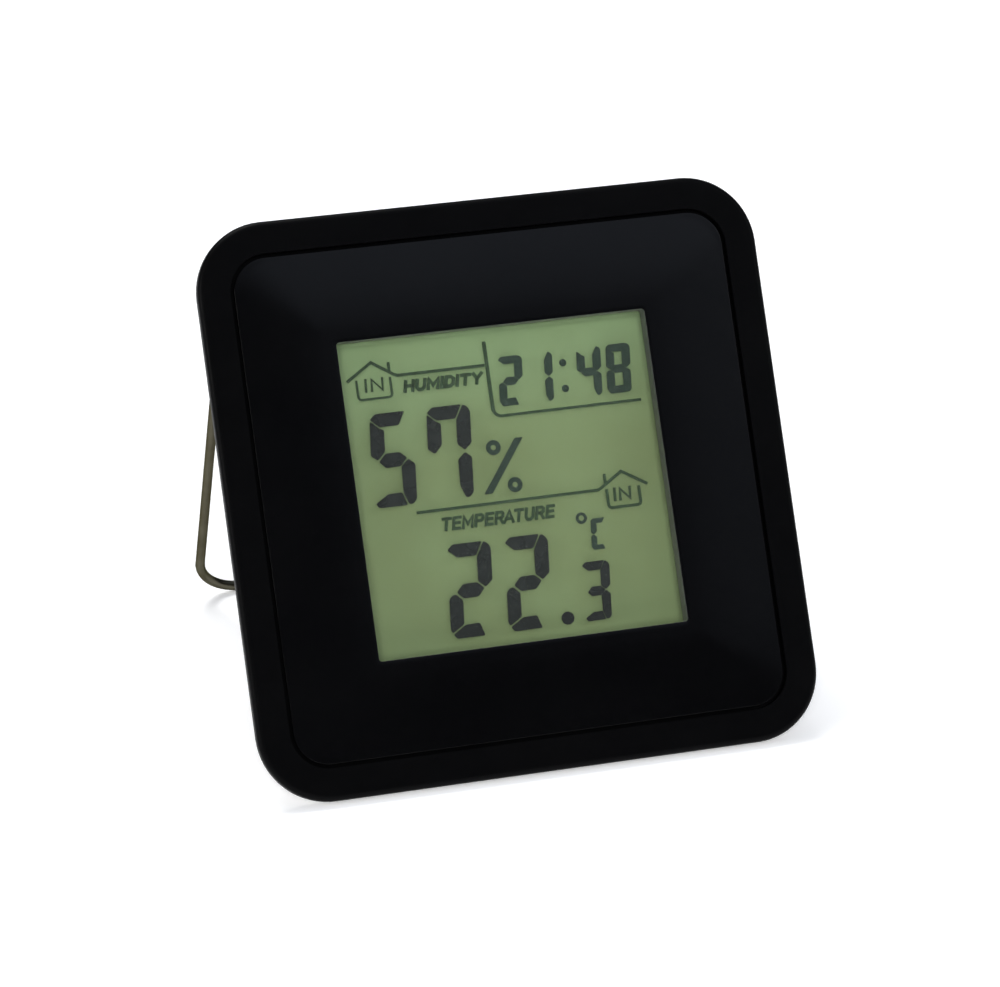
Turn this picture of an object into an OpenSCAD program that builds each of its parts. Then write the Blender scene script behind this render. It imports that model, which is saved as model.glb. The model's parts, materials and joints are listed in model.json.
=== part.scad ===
// Desk thermo-hygrometer: a square framed display that leans back on a swinging wire stand.
// Every sub-part is drawn in the face's own frame: x to the viewer's right, y back from the
// ring's front face, z up the face from its centre. Then the whole is leaned onto the table.

/* [Front frame] */
// Width and height of the square front frame.
case_size = 85; // [80:0.5:100]
// Radius of the frame's outer corners.
case_corner_radius = 10.5; // [8:0.5:14]
// Depth of the frame's flange.
flange_depth = 2.4; // [2:0.1:3.5]
// Rounding of the flange's front edge.
flange_front_round = 1; // [0.4:0.1:1.2]
// Rounding of the flange's rear edge, which stands on the table.
flange_rear_round = 0.5; // [0.2:0.1:0.9]
// Width of the frame's visible ring.
ring_width = 4.8; // [3:0.1:6]
// Depth of the panel's seat behind the ring's face.
seat_depth = 1.6; // [1.3:0.1:2]
// Thickness of the lip between lens and display.
lip_thickness = 0.6; // [0.4:0.1:1.2]
// Width of the lip's aperture beyond the panel's window, both sides together.
aperture_margin = 0.8; // [0.4:0.1:1.2]
// Thickness of the ribs that locate the back cover.
rib_thickness = 1.2; // [0.8:0.1:1.6]
// Height of the ribs that locate the back cover.
rib_height = 2; // [1:0.1:3]
// Distance of the side ribs' lower ends from the cover's lower side.
rib_low_set = 8; // [7:0.5:12]
// Distance of the side ribs' upper ends from the cover's upper side.
rib_high_set = 6; // [4:0.5:10]
// Distance of the upper rib's ends from the cover screws.
rib_side_set = 4; // [3:0.5:8]

/* [Front panel] */
// Width of the groove between ring and panel.
panel_groove = 0.6; // [0.4:0.05:0.8]
// Depth of the panel's edge behind the ring's face.
panel_set_back = 0.2; // [0:0.05:0.4]
// Height of the panel's middle over its edge.
panel_crown = 1.1; // [0.6:0.1:1.4]
// Width of the sloping margin around the panel.
crown_margin = 11; // [8:0.5:13]
// Slope at which the panel's margin leaves its flat middle.
crown_start = 2; // [1:0.5:3]
// Width and height of the window in the panel.
window_size = 46.8; // [40:0.2:52]
// Thickness of the tape under the panel.
tape_thickness = 0.2; // [0.1:0.05:0.4]
// Distance of the tape's outer edge from the panel's edge.
tape_inset = 1.6; // [1:0.1:3]
// Width of the tape's inner edge beyond the window, both sides together.
tape_window_margin = 1.6; // [1:0.1:2]

/* [Display] */
// Thickness of the window lens.
lens_thickness = 0.8; // [0.5:0.1:1.5]
// Overlap of the lens on its lip, each side.
lens_overlap = 1.3; // [0.8:0.1:2]
// Thickness of each of the display's two glass plates.
glass_thickness = 1.1; // [0.5:0.1:1.5]
// Overlap of the display on its lip, each side.
display_overlap = 2.2; // [1.8:0.1:3]
// Width of the display's contact ledges, top and bottom.
ledge_width = 2.2; // [2:0.1:3]
// Thickness of the reflector film.
reflector_thickness = 0.3; // [0.2:0.05:0.4]
// Distance of the reflector's edge inside the rear plate's edge.
reflector_inset = 0.5; // [0.2:0.1:1]
// Thickness of the rubber contact strips.
strip_thickness = 1.6; // [1:0.1:1.8]
// Height of the contact strips from ledge to board.
strip_height = 2.5; // [2:0.1:4]
// Distance of the contact strips' ends from the display's side edge.
strip_inset = 1; // [0.5:0.1:2]
// Wall of the display carrier.
carrier_wall = 1.2; // [0.8:0.1:2]

/* [Circuit board] */
// Distance of the board's upper and lower edges inside the display carrier's.
board_inset = 0.7; // [0.3:0.1:1.2]
// Distance of the board screws from the board's side edges.
board_edge = 2.3; // [2:0.1:3]
// Thickness of the circuit board.
board_thickness = 1.2; // [1:0.1:1.6]
// Clearance of the board around the cover bosses.
board_clearance = 0.5; // [0.4:0.1:0.8]
// Room between the display carrier and the board bosses.
board_boss_room = 0.8; // [0.4:0.1:1.5]
// Room between the battery bay's ends and the board screws' heads.
board_screw_room = 0.4; // [0.2:0.1:1]
// Bare strip along the board's upper edge.
board_margin = 2; // [1:0.1:2.5]
// Distance of the board screws from the middle, up and down.
board_screw_z = 10; // [6:0.5:14]
// Radius of the board bosses.
board_boss_radius = 2; // [1.6:0.1:2.4]
// Radius of the board screws' shafts.
board_screw_radius = 0.9; // [0.7:0.05:1.1]
// Radius of the board screws' heads.
board_head_radius = 1.8; // [1.5:0.1:2]
// Height of the board screws' heads.
board_head_height = 1.2; // [0.8:0.1:1.4]
// Depth of the board screws' thread in the bosses.
board_screw_bite = 2.8; // [2:0.1:3.2]
// Play of a screw's shaft in the board or cover.
screw_clearance = 0.2; // [0.1:0.05:0.3]

/* [Board parts] */
// Radius of the resin blob.
blob_radius = 6; // [5:0.5:7]
// Height of the resin blob.
blob_height = 1.4; // [1:0.1:2]
// Radius of the crystal's can.
crystal_radius = 1; // [0.8:0.1:1.2]
// Length of the crystal's can.
crystal_length = 6; // [5:0.5:8]
// Length of a small board component.
chip_length = 2; // [1.6:0.1:3]
// Width of a small board component.
chip_width = 1.2; // [0.8:0.1:1.6]
// Height of a small board component.
chip_height = 0.6; // [0.4:0.1:1]
// Distance between neighbouring board components.
chip_pitch = 4; // [3:0.1:5]
// Space between the battery bay and the components above it.
chip_land = 1.5; // [1:0.1:2.5]
// Distance of the resin blob from the middle.
blob_set = 12; // [10:0.5:14]
// Width of the humidity element.
sensor_width = 8; // [6:0.5:9]
// Height of the humidity element.
sensor_height = 9; // [7:0.5:10]
// Thickness of the humidity element.
sensor_thickness = 2.4; // [1.5:0.1:3]
// Length of the humidity element's pins.
sensor_stand_off = 1; // [0.6:0.1:2]
// Radius of the thermistor's bead.
bead_radius = 1.2; // [0.9:0.1:1.5]
// Length of the thermistor's leads.
bead_leads = 3; // [2:0.1:5]
// Radius of the small parts' leads.
lead_radius = 0.3; // [0.2:0.05:0.4]

/* [Keys] */
// Distance between the rear keys.
key_pitch = 14; // [11:0.5:18]
// Distance between the battery door's notch and the key sleeves.
key_land = 2.5; // [1:0.1:4]
// Radius of a key's cap.
key_radius = 3; // [2.4:0.1:3.6]
// Gap between a key and its sleeve.
key_gap = 0.3; // [0.3:0.05:0.5]
// Height of a key's cap above the back.
key_rise = 0.8; // [0.7:0.1:1.6]
// Rounding of a key's rim.
key_round = 0.4; // [0.2:0.05:0.6]
// Width of the key's stop flange beyond its cap.
key_flange_width = 1.2; // [0.8:0.1:1.4]
// Thickness of the key's stop flange.
key_flange_thickness = 1; // [0.8:0.1:1.2]
// Radius of the key's stem.
key_stem_radius = 1.5; // [1.2:0.1:1.6]
// Wall of the sleeve around a key.
sleeve_wall = 1.2; // [1:0.1:1.4]
// Length of the sleeve around a key inside the cover.
sleeve_length = 5.2; // [4:0.1:6]
// Travel of a key.
key_travel = 0.6; // [0.3:0.1:0.8]
// Width of a switch body.
switch_width = 6; // [5:0.1:7]
// Height of a switch body.
switch_height = 3.4; // [2.5:0.1:4]
// Radius of a switch plunger.
plunger_radius = 1.75; // [1.4:0.05:2.2]
// Height of a switch plunger above its body.
plunger_rise = 1.2; // [1:0.1:1.6]
// Length of a switch plunger inside its body.
plunger_depth = 1.2; // [1:0.1:1.4]
// Radial play of a plunger in its switch.
plunger_clearance = 0.05; // [0.03:0.01:0.1]

/* [Back cover] */
// Room between the board's side edges and the cover.
board_room = 1; // [0.5:0.1:2]
// Room between the display carrier and the cover's lower side.
carrier_room = 0.6; // [0.3:0.1:1.5]
// Distance of the cover's upper side below the frame's upper edge.
cover_head_set = 5.5; // [4:0.1:8]
// Radius of the cover's corners.
cover_corner_radius = 5; // [4:0.1:7]
// Thickness of the cover's side walls.
cover_wall = 2; // [1.6:0.1:2.4]
// Thickness of the cover's back wall.
back_wall = 2; // [1.8:0.1:2.8]
// Rounding around the cover's back.
cover_edge_round = 1.8; // [1:0.1:2]
// Radius of the frame's bosses for the cover screws.
cover_boss_radius = 2.4; // [2:0.1:2.8]
// Height of those bosses behind the ring's face.
cover_boss_top = 12; // [10:0.1:14]
// Distance of the cover screws from the inner side walls.
cover_boss_inset = 3.1; // [2.8:0.1:4]
// Distance of the upper cover screws from the middle.
upper_screw_x = 24; // [20:0.5:26]
// Radius of the cover screws' shafts.
cover_screw_radius = 1.2; // [1:0.05:1.4]
// Radius of the cover screws' heads.
cover_head_radius = 2.1; // [1.8:0.1:2.4]
// Height of the cover screws' heads.
cover_head_height = 1.6; // [1.2:0.1:2]
// Length of the cross recess in the cover screws' heads.
cross_length = 2.4; // [1.8:0.1:3]
// Width of the cross recess.
cross_width = 0.5; // [0.4:0.05:0.7]
// Depth of the cross recess.
cross_depth = 0.7; // [0.5:0.1:1]
// Depth of the cover screws' thread in the bosses.
cover_screw_bite = 7; // [5:0.5:8]
// Floor of the wells that take the cover screws.
well_floor = 2; // [1.5:0.1:2.5]
// Wall of the wells.
well_wall = 0.8; // [0.6:0.1:1]
// Play of a screw head in its well.
well_clearance = 0.3; // [0.2:0.05:0.4]
// Number of vent slots on each side.
vent_count = 5; // [3:1:6]
// Distance between vent slots.
vent_pitch = 3; // [2.4:0.1:3.4]
// Width of a vent slot.
vent_width = 1.4; // [1:0.1:1.8]
// Length of a vent slot.
vent_length = 14; // [8:0.5:16]
// Distance of the vent slots' middle from the middle of the back.
vent_x = 20; // [18:0.5:22]
// Distance of the lowest vent slot's middle above the key sleeves.
vent_land = 4.5; // [2:0.1:5]

/* [Wall hanging] */
// Radius of the keyhole's round entry.
keyhole_radius = 4; // [3.2:0.1:5]
// Distance of the keyhole's slot below the pocket's upper wall.
keyhole_land = 0.9; // [0.5:0.1:2]
// Width of the keyhole's slot.
keyhole_slot = 4.2; // [3.2:0.1:5]
// Length of the keyhole's slot above its entry.
keyhole_rise = 5; // [4:0.1:6]
// Depth of the pocket behind the keyhole.
pocket_depth = 5; // [3:0.1:7]
// Room around the keyhole's entry in the pocket.
pocket_room = 1.2; // [0.8:0.1:2]
// Wall of the pocket.
pocket_wall = 1; // [0.8:0.1:1.2]

/* [Battery] */
// Radius of the AAA cell.
cell_radius = 5.25; // [5:0.05:7.25]
// Length of the AAA cell with its nub.
cell_length = 44.5; // [40:0.1:50]
// Radius of the cell's nub.
nub_radius = 1.9; // [1.5:0.1:2.5]
// Length of the cell's nub.
nub_length = 1; // [0.8:0.1:1.2]
// Play of the cell in its bay.
cell_play = 0.95; // [0.5:0.05:1.5]
// Space between the cell and the bay's floor.
cell_lift = 0.2; // [0.1:0.05:0.3]
// Space between the cell and the door.
cell_door_gap = 0.4; // [0.3:0.05:0.6]
// Distance between the lower screw wells and the battery door.
door_land = 0.8; // [0.5:0.1:2]
// Reach of the bay's lower wall below the door's axis.
bay_reach = 0.3; // [0:0.1:0.6]
// Wall of the battery bay.
bay_wall = 1.2; // [0.8:0.1:1.6]
// Floor of the battery bay.
bay_floor = 0.9; // [0.8:0.1:1.2]
// Space between the board and the bay's floor.
bay_board_gap = 0.4; // [0.3:0.05:0.6]
// Length of the pressed spring contact.
spring_length = 5.4; // [4:0.1:7]
// Radius of the spring's wire.
spring_wire_radius = 0.35; // [0.3:0.05:0.4]
// Mean radius of the spring's widest turn.
spring_radius = 3.4; // [3:0.1:3.8]
// Number of turns of the spring.
spring_turns = 3.5; // [3:0.5:4]
// Thickness of the contact plates.
contact_thickness = 0.4; // [0.3:0.05:0.5]
// Play between the contact plates and the bay's ends.
contact_play = 0.1; // [0.05:0.01:0.2]
// Width of the contact plates.
contact_width = 9; // [8:0.5:10]
// Distance of the contact plates' edges below the door.
contact_set = 0.8; // [0.5:0.1:2]
// Width of the contact plates' tails.
tail_width = 2; // [1.5:0.1:3]
// Play around the contact plates' tails in the bay's floor.
tail_play = 0.3; // [0.2:0.05:0.4]

/* [Battery door] */
// Gap around the battery door.
door_gap = 0.3; // [0.3:0.05:0.4]
// Reach of the door beyond the bay, each side.
door_reach = 1.2; // [1:0.1:1.3]
// Space between the door and the bay's walls.
door_lift = 0.3; // [0.3:0.05:0.5]
// Width of the ledge around the battery door's opening.
ledge_rim = 1.2; // [0.8:0.1:1.5]
// Thickness of that ledge.
ledge_depth = 1.2; // [0.8:0.1:2]
// Radius of the door's pins.
door_pin_radius = 0.6; // [0.4:0.05:0.7]
// Length of the door's pins in the cover.
door_pin_length = 2; // [1.2:0.1:2.4]
// Radial play of the door's pins.
door_pin_clearance = 0.05; // [0.03:0.01:0.1]
// Length of the bores beyond the ends of the door's pins.
door_pin_play = 0.3; // [0.2:0.05:0.5]
// Plastic around the door's pins on the inside of the back wall.
pin_pad = 1; // [0.6:0.1:1.4]
// Number of grip ridges on the door.
ridge_count = 4; // [2:1:6]
// Distance between the grip ridges.
ridge_pitch = 1.4; // [1:0.1:2]
// Width of a grip ridge.
ridge_width = 0.7; // [0.4:0.1:0.9]
// Height of the grip ridges.
ridge_height = 0.35; // [0.2:0.05:0.6]
// Width of the fingernail notch above the door.
notch_width = 12; // [9:0.5:14]
// Depth of the fingernail notch.
notch_depth = 1.2; // [0.8:0.1:1.4]
// Height of the fingernail notch.
notch_height = 1.8; // [1.2:0.1:2]

/* [Wire stand] */
// Radius of the stand's wire.
wire_radius = 0.75; // [0.6:0.05:1.2]
// Space between the legs and the cover's sides.
leg_room = 2; // [1:0.1:3]
// Height of the stand's pivot above the frame's lower edge.
pivot_height = 69.2; // [64:0.1:72]
// Depth of the stand's pivot behind the ring's face.
pivot_depth = 12; // [10.5:0.1:15]
// Length of the legs from the pivot to the foot bar.
leg_length = 61.5; // [56:0.1:66]
// Angle between the opened legs and the face.
stand_angle = 57.4; // [50:0.1:65]
// Bend radius of the wire's centreline at the legs' ends.
bend_radius = 2; // [1.6:0.1:3]
// Bend radius of the wire's centreline at the foot bar's ends.
foot_bend_radius = 7.5; // [4:0.1:12]
// Widening of the wire's radius in its bends.
bend_swell = 0.02; // [0.02:0.005:0.04]
// Length of the pivot bosses inside the cover.
pivot_boss_length = 3; // [2:0.1:4]
// Radius of the pivot bosses.
pivot_boss_radius = 2.6; // [2:0.1:3]
// Radial play of the wire's ends in their bores.
pivot_clearance = 0.05; // [0.03:0.01:0.1]
// Length of the bore beyond the wire's end.
pivot_end_play = 0.5; // [0.3:0.1:1]
// Space between an opened leg and its stop.
stop_gap = 0.3; // [0.3:0.05:0.4]
// Thickness of the stops.
stop_thickness = 2; // [1.4:0.1:2.6]
// Distance of the stops' upper end from the pivot.
stop_start = 3.5; // [3:0.1:4]
// Distance of the stops' lower end from the pivot.
stop_end = 7; // [6:0.1:8]

/* [Fits] */
// Play left between parts that lie on each other.
seat_gap = 0.05; // [0.02:0.01:0.08]
// Sideways play of parts that drop into a seat.
drop_in_play = 0.2; // [0.1:0.05:0.3]

/* [Hidden] */
$fn = 64;

// Overlap of solids that are one piece.
lap = 0.2;
case_half = case_size / 2;
// Panel and its seat.
panel_size = case_size - 2 * ring_width - 2 * panel_groove;
panel_corner_radius = case_corner_radius - ring_width - panel_groove;
panel_front = panel_set_back - panel_crown;
tape_front = seat_depth - seat_gap - tape_thickness;
panel_back = tape_front - seat_gap;
crown_radius = norm([crown_margin, panel_crown])
  / (2 * sin(atan2(panel_crown, crown_margin) - crown_start));
aperture = window_size + aperture_margin;
// Stack behind the panel.
lens_size = aperture + 2 * lens_overlap;
lip_front = seat_depth + lens_thickness + seat_gap;
lip_back = lip_front + lip_thickness;
lcd_front = lip_back + seat_gap;
lcd_size = aperture + 2 * display_overlap;
lcd_middle = lcd_front + glass_thickness;
lcd_back = lcd_middle + glass_thickness;
rear_glass_height = lcd_size - 2 * ledge_width;
strip_front = lcd_middle + seat_gap;
board_front = strip_front + strip_height + seat_gap;
board_back = board_front + board_thickness;
carrier_inside = lcd_size + 2 * drop_in_play;
carrier_outside = carrier_inside + 2 * carrier_wall;
bay_length = cell_length + spring_length + 2 * contact_thickness + 4 * seat_gap + 2 * contact_play;
board_screw_x = max(carrier_outside / 2 + board_boss_room + board_boss_radius,
  bay_length / 2 + bay_wall + board_screw_room + board_head_radius);
board_width = 2 * (board_screw_x + board_edge);
board_height = carrier_outside - 2 * board_inset;
board_top = board_height / 2;
// Battery bay and the depth that it sets.
bay_floor_front = board_back + bay_board_gap;
bay_floor_back = bay_floor_front + bay_floor;
cell_y = bay_floor_back + cell_lift + cell_radius;
wall_front = cell_y + cell_radius + cell_door_gap;
case_depth = wall_front + back_wall;
bay_half_height = cell_radius + cell_play;
plate_x = bay_length / 2 - contact_play - contact_thickness;
cell_end_x = plate_x - seat_gap;
tail_slot_start = plate_x - tail_play;
// Cover.
cover_width = board_width + 2 * (board_room + cover_wall);
cover_bottom = -carrier_outside / 2 - carrier_room - cover_wall;
cover_top = case_half - cover_head_set;
cover_height = cover_top - cover_bottom;
cover_middle = (cover_top + cover_bottom) / 2;
cover_front = flange_depth + seat_gap;
inner_half = cover_width / 2 - cover_wall;
inner_bottom = cover_bottom + cover_wall;
inner_top = cover_top - cover_wall;
lower_screw_x = inner_half - cover_boss_inset;
cover_screw_places = [
  [-lower_screw_x, inner_bottom + cover_boss_inset], [lower_screw_x, inner_bottom + cover_boss_inset],
  [-upper_screw_x, inner_top - cover_boss_inset], [upper_screw_x, inner_top - cover_boss_inset]
];
board_screw_places = [
  [-board_screw_x, -board_screw_z], [board_screw_x, -board_screw_z],
  [-board_screw_x, board_screw_z], [board_screw_x, board_screw_z]
];
well_front = cover_boss_top + seat_gap;
well_back = well_front + well_floor;
well_radius = cover_head_radius + well_clearance;
door_axis_z = inner_bottom + cover_boss_inset + well_radius + well_wall + door_land + door_gap
  + back_wall / 2;
bay_z = door_axis_z + bay_half_height + bay_wall - bay_reach;
door_top = bay_z + bay_half_height + door_reach;
sleeve_radius = key_radius + key_gap + sleeve_wall;
key_z = door_top + door_gap + notch_height + key_land + sleeve_radius;
vent_z = key_z + sleeve_radius + vent_land;
keyhole_z = inner_top - pocket_wall - keyhole_land - keyhole_slot / 2 - keyhole_rise;
// Keys.
switch_back = board_back + seat_gap + switch_height;
plunger_back = switch_back + plunger_rise;
sleeve_front = wall_front - sleeve_length;
key_flange_back = sleeve_front - key_gap;
key_flange_front = key_flange_back - key_flange_thickness;
key_places = [-key_pitch, 0, key_pitch];
// Board parts.
blob_z = board_top - board_margin - blob_radius;
chip_right = blob_radius + chip_pitch - blob_set;
chip_left = -blob_set - blob_radius - chip_pitch;
chip_side = key_pitch + switch_width / 2 + chip_pitch;
chip_low = bay_z + bay_half_height + bay_wall + chip_land + chip_width / 2;
chip_places = [
  [chip_right, blob_z - chip_pitch], [chip_right, blob_z], [chip_right, blob_z + chip_pitch],
  [chip_right + chip_pitch, blob_z], [chip_left, blob_z - chip_pitch],
  [chip_left, blob_z], [chip_side, chip_low], [-chip_side, chip_low]
];
sensor_z = vent_z + (vent_count - 1) * vent_pitch / 2;
bead_x = vent_x - sensor_width / 2 - chip_pitch;
bead_z = board_top - board_margin - bead_radius;
// Door.
door_half_width = bay_length / 2 + door_reach;
door_barrel = back_wall / 2;
door_axis_y = case_depth - door_barrel;
pin_pad_start = door_half_width + door_gap;
pin_bore_end = pin_pad_start + door_pin_length + door_pin_play;
pin_pad_end = pin_bore_end + pin_pad;
// Stand, and the lean that its foot and the flange's rear edge give.
pivot_z = pivot_height - case_half;
leg_x = cover_width / 2 + leg_room + wire_radius;
foot_y = pivot_depth + leg_length * sin(stand_angle);
foot_z = pivot_z - leg_length * cos(stand_angle);
edge_y = flange_depth - flange_rear_round;
edge_z = -case_half + flange_rear_round;
foot_radius = wire_radius + bend_swell;
span = sqrt(pow(foot_y - edge_y, 2) + pow(foot_z - edge_z, 2));
lean = atan2(foot_z - edge_z, foot_y - edge_y) - asin((foot_radius - flange_rear_round) / span);
table_lift = flange_rear_round - edge_z * cos(lean) + edge_y * sin(lean);
rear_reach = foot_z * sin(lean) + foot_y * cos(lean) + foot_radius;
front_reach = (flange_front_round - case_half) * sin(lean) + flange_front_round * cos(lean)
  - flange_front_round;
tail_start = inner_half - pivot_boss_length + pivot_end_play;
bar_half = leg_x - foot_bend_radius;

// Leans the face's frame back onto the table, with the origin under the middle of the whole.
module leaned() {
  translate([0, -(rear_reach + front_reach) / 2, table_lift])
    rotate([-lean, 0, 0])
      children();
}

// Extrudes an outline drawn in x and z from depth y0 to depth y1.
module slab(y0, y1) {
  translate([0, y1, 0])
    rotate([90, 0, 0])
      linear_extrude(y1 - y0)
        children();
}

// Box between two corners.
module block(x0, x1, y0, y1, z0, z1) {
  translate([x0, y0, z0])
    cube([x1 - x0, y1 - y0, z1 - z0]);
}

// Cylinder along y.
module post(r, y0, y1, x, z) {
  translate([x, y1, z])
    rotate([90, 0, 0])
      cylinder(r = r, h = y1 - y0);
}

// Cylinder along x.
module axle(r, x0, x1, y, z) {
  translate([x0, y, z])
    rotate([0, 90, 0])
      cylinder(r = r, h = x1 - x0);
}

// Outline of a rectangle with round corners.
module rounded_outline(w, h, r) {
  square([w - 2 * r, h], center = true);
  square([w, h - 2 * r], center = true);
  for (sx = [-1, 1], sz = [-1, 1])
    translate([sx * (w / 2 - r), sz * (h / 2 - r)])
      circle(r);
}

// Carries a profile (x outwards from the edge, y in depth) around a rounded rectangle.
module swept_frame(w, h, r) {
  for (k = [0 : 3]) {
    half = k % 2 == 0 ? w / 2 : h / 2;
    run = k % 2 == 0 ? h / 2 - r : w / 2 - r;
    rotate([0, 90 * k, 0]) {
      translate([half, 0, -run])
        linear_extrude(2 * run)
          children();
      translate([half - r, 0, -run])
        rotate([-90, 0, 0])
          rotate_extrude(angle = 90)
            translate([r, 0])
              children();
    }
  }
}

// Cross-section of the front ring with its rounded outer edges.
module ring_profile() {
  f = flange_front_round;
  b = flange_rear_round;
  m = max(f, b);
  translate([-ring_width, 0])
    square([ring_width - m, flange_depth]);
  translate([-m, f])
    square([m, flange_depth - f - b]);
  intersection() {
    translate([-f, f])
      circle(f);
    translate([-f, 0])
      square(f);
  }
  translate([-m, flange_depth - b])
    square([m - b, b]);
  intersection() {
    translate([-b, flange_depth - b])
      circle(b);
    translate([-b, flange_depth - b])
      square(b);
  }
}

// Cross-section of the back cover's wall, rounded into the back.
module cover_profile() {
  e = cover_edge_round;
  translate([-cover_wall, cover_front])
    square([cover_wall, case_depth - e - cover_front]);
  translate([-cover_wall - 3 * lap, wall_front])
    square([cover_wall + 3 * lap - e, back_wall]);
  intersection() {
    translate([-e, case_depth - e])
      circle(e);
    translate([-e, case_depth - e])
      square(e);
  }
}

module front_frame() {
  color([0.05, 0.05, 0.055])
    leaned()
      difference() {
        union() {
          swept_frame(case_size, case_size, case_corner_radius)
            ring_profile();
          slab(seat_depth, flange_depth)
            rounded_outline(case_size - 2 * ring_width + 2, case_size - 2 * ring_width + 2,
              case_corner_radius - ring_width + 1);
          slab(flange_depth - lap, lip_back)
            square(carrier_outside, center = true);
          for (p = cover_screw_places)
            post(cover_boss_radius, seat_depth + lap, cover_boss_top, p[0], p[1]);
          for (p = board_screw_places)
            post(board_boss_radius, seat_depth + lap, board_front - seat_gap, p[0], p[1]);
          for (s = [-1, 1])
            block(s * (inner_half - drop_in_play) - (s + 1) / 2 * rib_thickness,
              s * (inner_half - drop_in_play) - (s - 1) / 2 * rib_thickness,
              seat_depth + lap, flange_depth + rib_height, inner_bottom + rib_low_set,
              inner_top - rib_high_set);
          block(rib_side_set - upper_screw_x, upper_screw_x - rib_side_set, seat_depth + lap,
            flange_depth + rib_height, inner_top - drop_in_play - rib_thickness,
            inner_top - drop_in_play);
        }
        slab(seat_depth - 1, lip_back + 1)
          square(aperture, center = true);
        slab(seat_depth - 1, lip_front)
          square(lens_size + 2 * drop_in_play, center = true);
        for (p = cover_screw_places)
          post(cover_screw_radius + seat_gap, cover_boss_top - cover_screw_bite - 0.5,
            cover_boss_top + 1, p[0], p[1]);
        for (p = board_screw_places)
          post(board_screw_radius + seat_gap, board_front - board_screw_bite - 0.3,
            board_front + 1, p[0], p[1]);
      }
}

// Region behind the panel's crowned face, across one direction of the face.
module crown_outline() {
  t = panel_size / 2;
  u = t - crown_margin;
  translate([-u, panel_front])
    square([2 * u, panel_back - panel_front]);
  for (s = [-1, 1])
    intersection() {
      translate([s * (u - crown_radius * sin(crown_start)), panel_front + crown_radius * cos(crown_start)])
        circle(crown_radius, $fn = 180);
      translate([s > 0 ? u : -t, panel_front])
        square([crown_margin, panel_back - panel_front]);
    }
}

module front_panel() {
  color([0.03, 0.03, 0.035])
    leaned()
      difference() {
        intersection() {
          slab(panel_front, panel_back)
            rounded_outline(panel_size, panel_size, panel_corner_radius);
          translate([0, 0, -case_half])
            linear_extrude(case_size)
              crown_outline();
          rotate([0, 90, 0])
            translate([0, 0, -case_half])
              linear_extrude(case_size)
                crown_outline();
        }
        slab(panel_front - 1, panel_back + 1)
          square(window_size, center = true);
      }
}

module panel_tape() {
  color([0.1, 0.1, 0.1])
    leaned()
      slab(tape_front, tape_front + tape_thickness)
        difference() {
          rounded_outline(panel_size - 2 * tape_inset, panel_size - 2 * tape_inset,
            panel_corner_radius - tape_inset);
          square(window_size + tape_window_margin, center = true);
        }
}

module window_lens() {
  color([0.85, 0.9, 0.9, 0.25])
    leaned()
      slab(seat_depth, seat_depth + lens_thickness)
        square(lens_size, center = true);
}

module lcd_cell() {
  color([0.5, 0.58, 0.42, 0.6])
    leaned()
      union() {
        slab(lcd_front, lcd_middle)
          square(lcd_size, center = true);
        slab(lcd_middle - 0.1, lcd_back)
          square([lcd_size, rear_glass_height], center = true);
      }
}

module lcd_reflector() {
  color([0.5, 0.58, 0.41])
    leaned()
      slab(lcd_back + seat_gap, lcd_back + seat_gap + reflector_thickness)
        square([lcd_size - 2 * reflector_inset, rear_glass_height - 2 * reflector_inset], center = true);
}

module contact_strips() {
  z0 = rear_glass_height / 2 + drop_in_play;
  color([0.75, 0.55, 0.6])
    leaned()
      for (s = [-1, 1])
        block(-lcd_size / 2 + strip_inset, lcd_size / 2 - strip_inset, strip_front,
          strip_front + strip_height, s > 0 ? z0 : -z0 - strip_thickness,
          s > 0 ? z0 + strip_thickness : -z0);
}

module lcd_carrier() {
  color([0.85, 0.85, 0.82])
    leaned()
      slab(lcd_front, board_front - seat_gap)
        difference() {
          square(carrier_outside, center = true);
          square(carrier_inside, center = true);
        }
}

module circuit_board() {
  c = cover_boss_radius + board_clearance;
  color([0.1, 0.35, 0.18])
    leaned()
      difference() {
        slab(board_front, board_back)
          square([board_width, board_height], center = true);
        for (s = [-1, 1])
          block(s > 0 ? lower_screw_x - c : -board_width / 2 - 1,
            s > 0 ? board_width / 2 + 1 : c - lower_screw_x, board_front - 1, board_back + 1,
            -board_top - 1, inner_bottom + cover_boss_inset + c);
        for (p = board_screw_places)
          post(board_screw_radius + screw_clearance, board_front - 1, board_back + 1, p[0], p[1]);
      }
}

module controller_blob() {
  ball = (blob_radius * blob_radius + blob_height * blob_height) / (2 * blob_height);
  color([0.05, 0.05, 0.05])
    leaned()
      translate([-blob_set, board_back + seat_gap, blob_z])
        intersection() {
          translate([0, blob_height - ball, 0])
            sphere(ball, $fn = 360);
          block(-blob_radius - 1, blob_radius + 1, 0, blob_height + 1, -blob_radius - 1, blob_radius + 1);
        }
}

module timing_crystal() {
  color([0.75, 0.75, 0.78])
    leaned()
      axle(crystal_radius, board_margin - board_screw_x, board_margin - board_screw_x + crystal_length,
        board_back + seat_gap + crystal_radius, board_top - board_margin - crystal_radius);
}

module board_components() {
  color([0.55, 0.42, 0.3])
    leaned()
      for (p = chip_places)
        translate([p[0], board_back + seat_gap, p[1]])
          block(-chip_length / 2, chip_length / 2, 0, chip_height, -chip_width / 2, chip_width / 2);
}

module humidity_element() {
  y0 = board_back + seat_gap + sensor_stand_off;
  color([0.9, 0.9, 0.92])
    leaned()
      translate([vent_x, 0, sensor_z])
        union() {
          block(-sensor_width / 2, sensor_width / 2, y0, y0 + sensor_thickness,
            -sensor_height / 2, sensor_height / 2);
          for (s = [-1, 1])
            post(lead_radius, board_back + seat_gap, y0 + 0.5, s * sensor_width / 4,
              -sensor_height / 2 + 1);
        }
}

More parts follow.
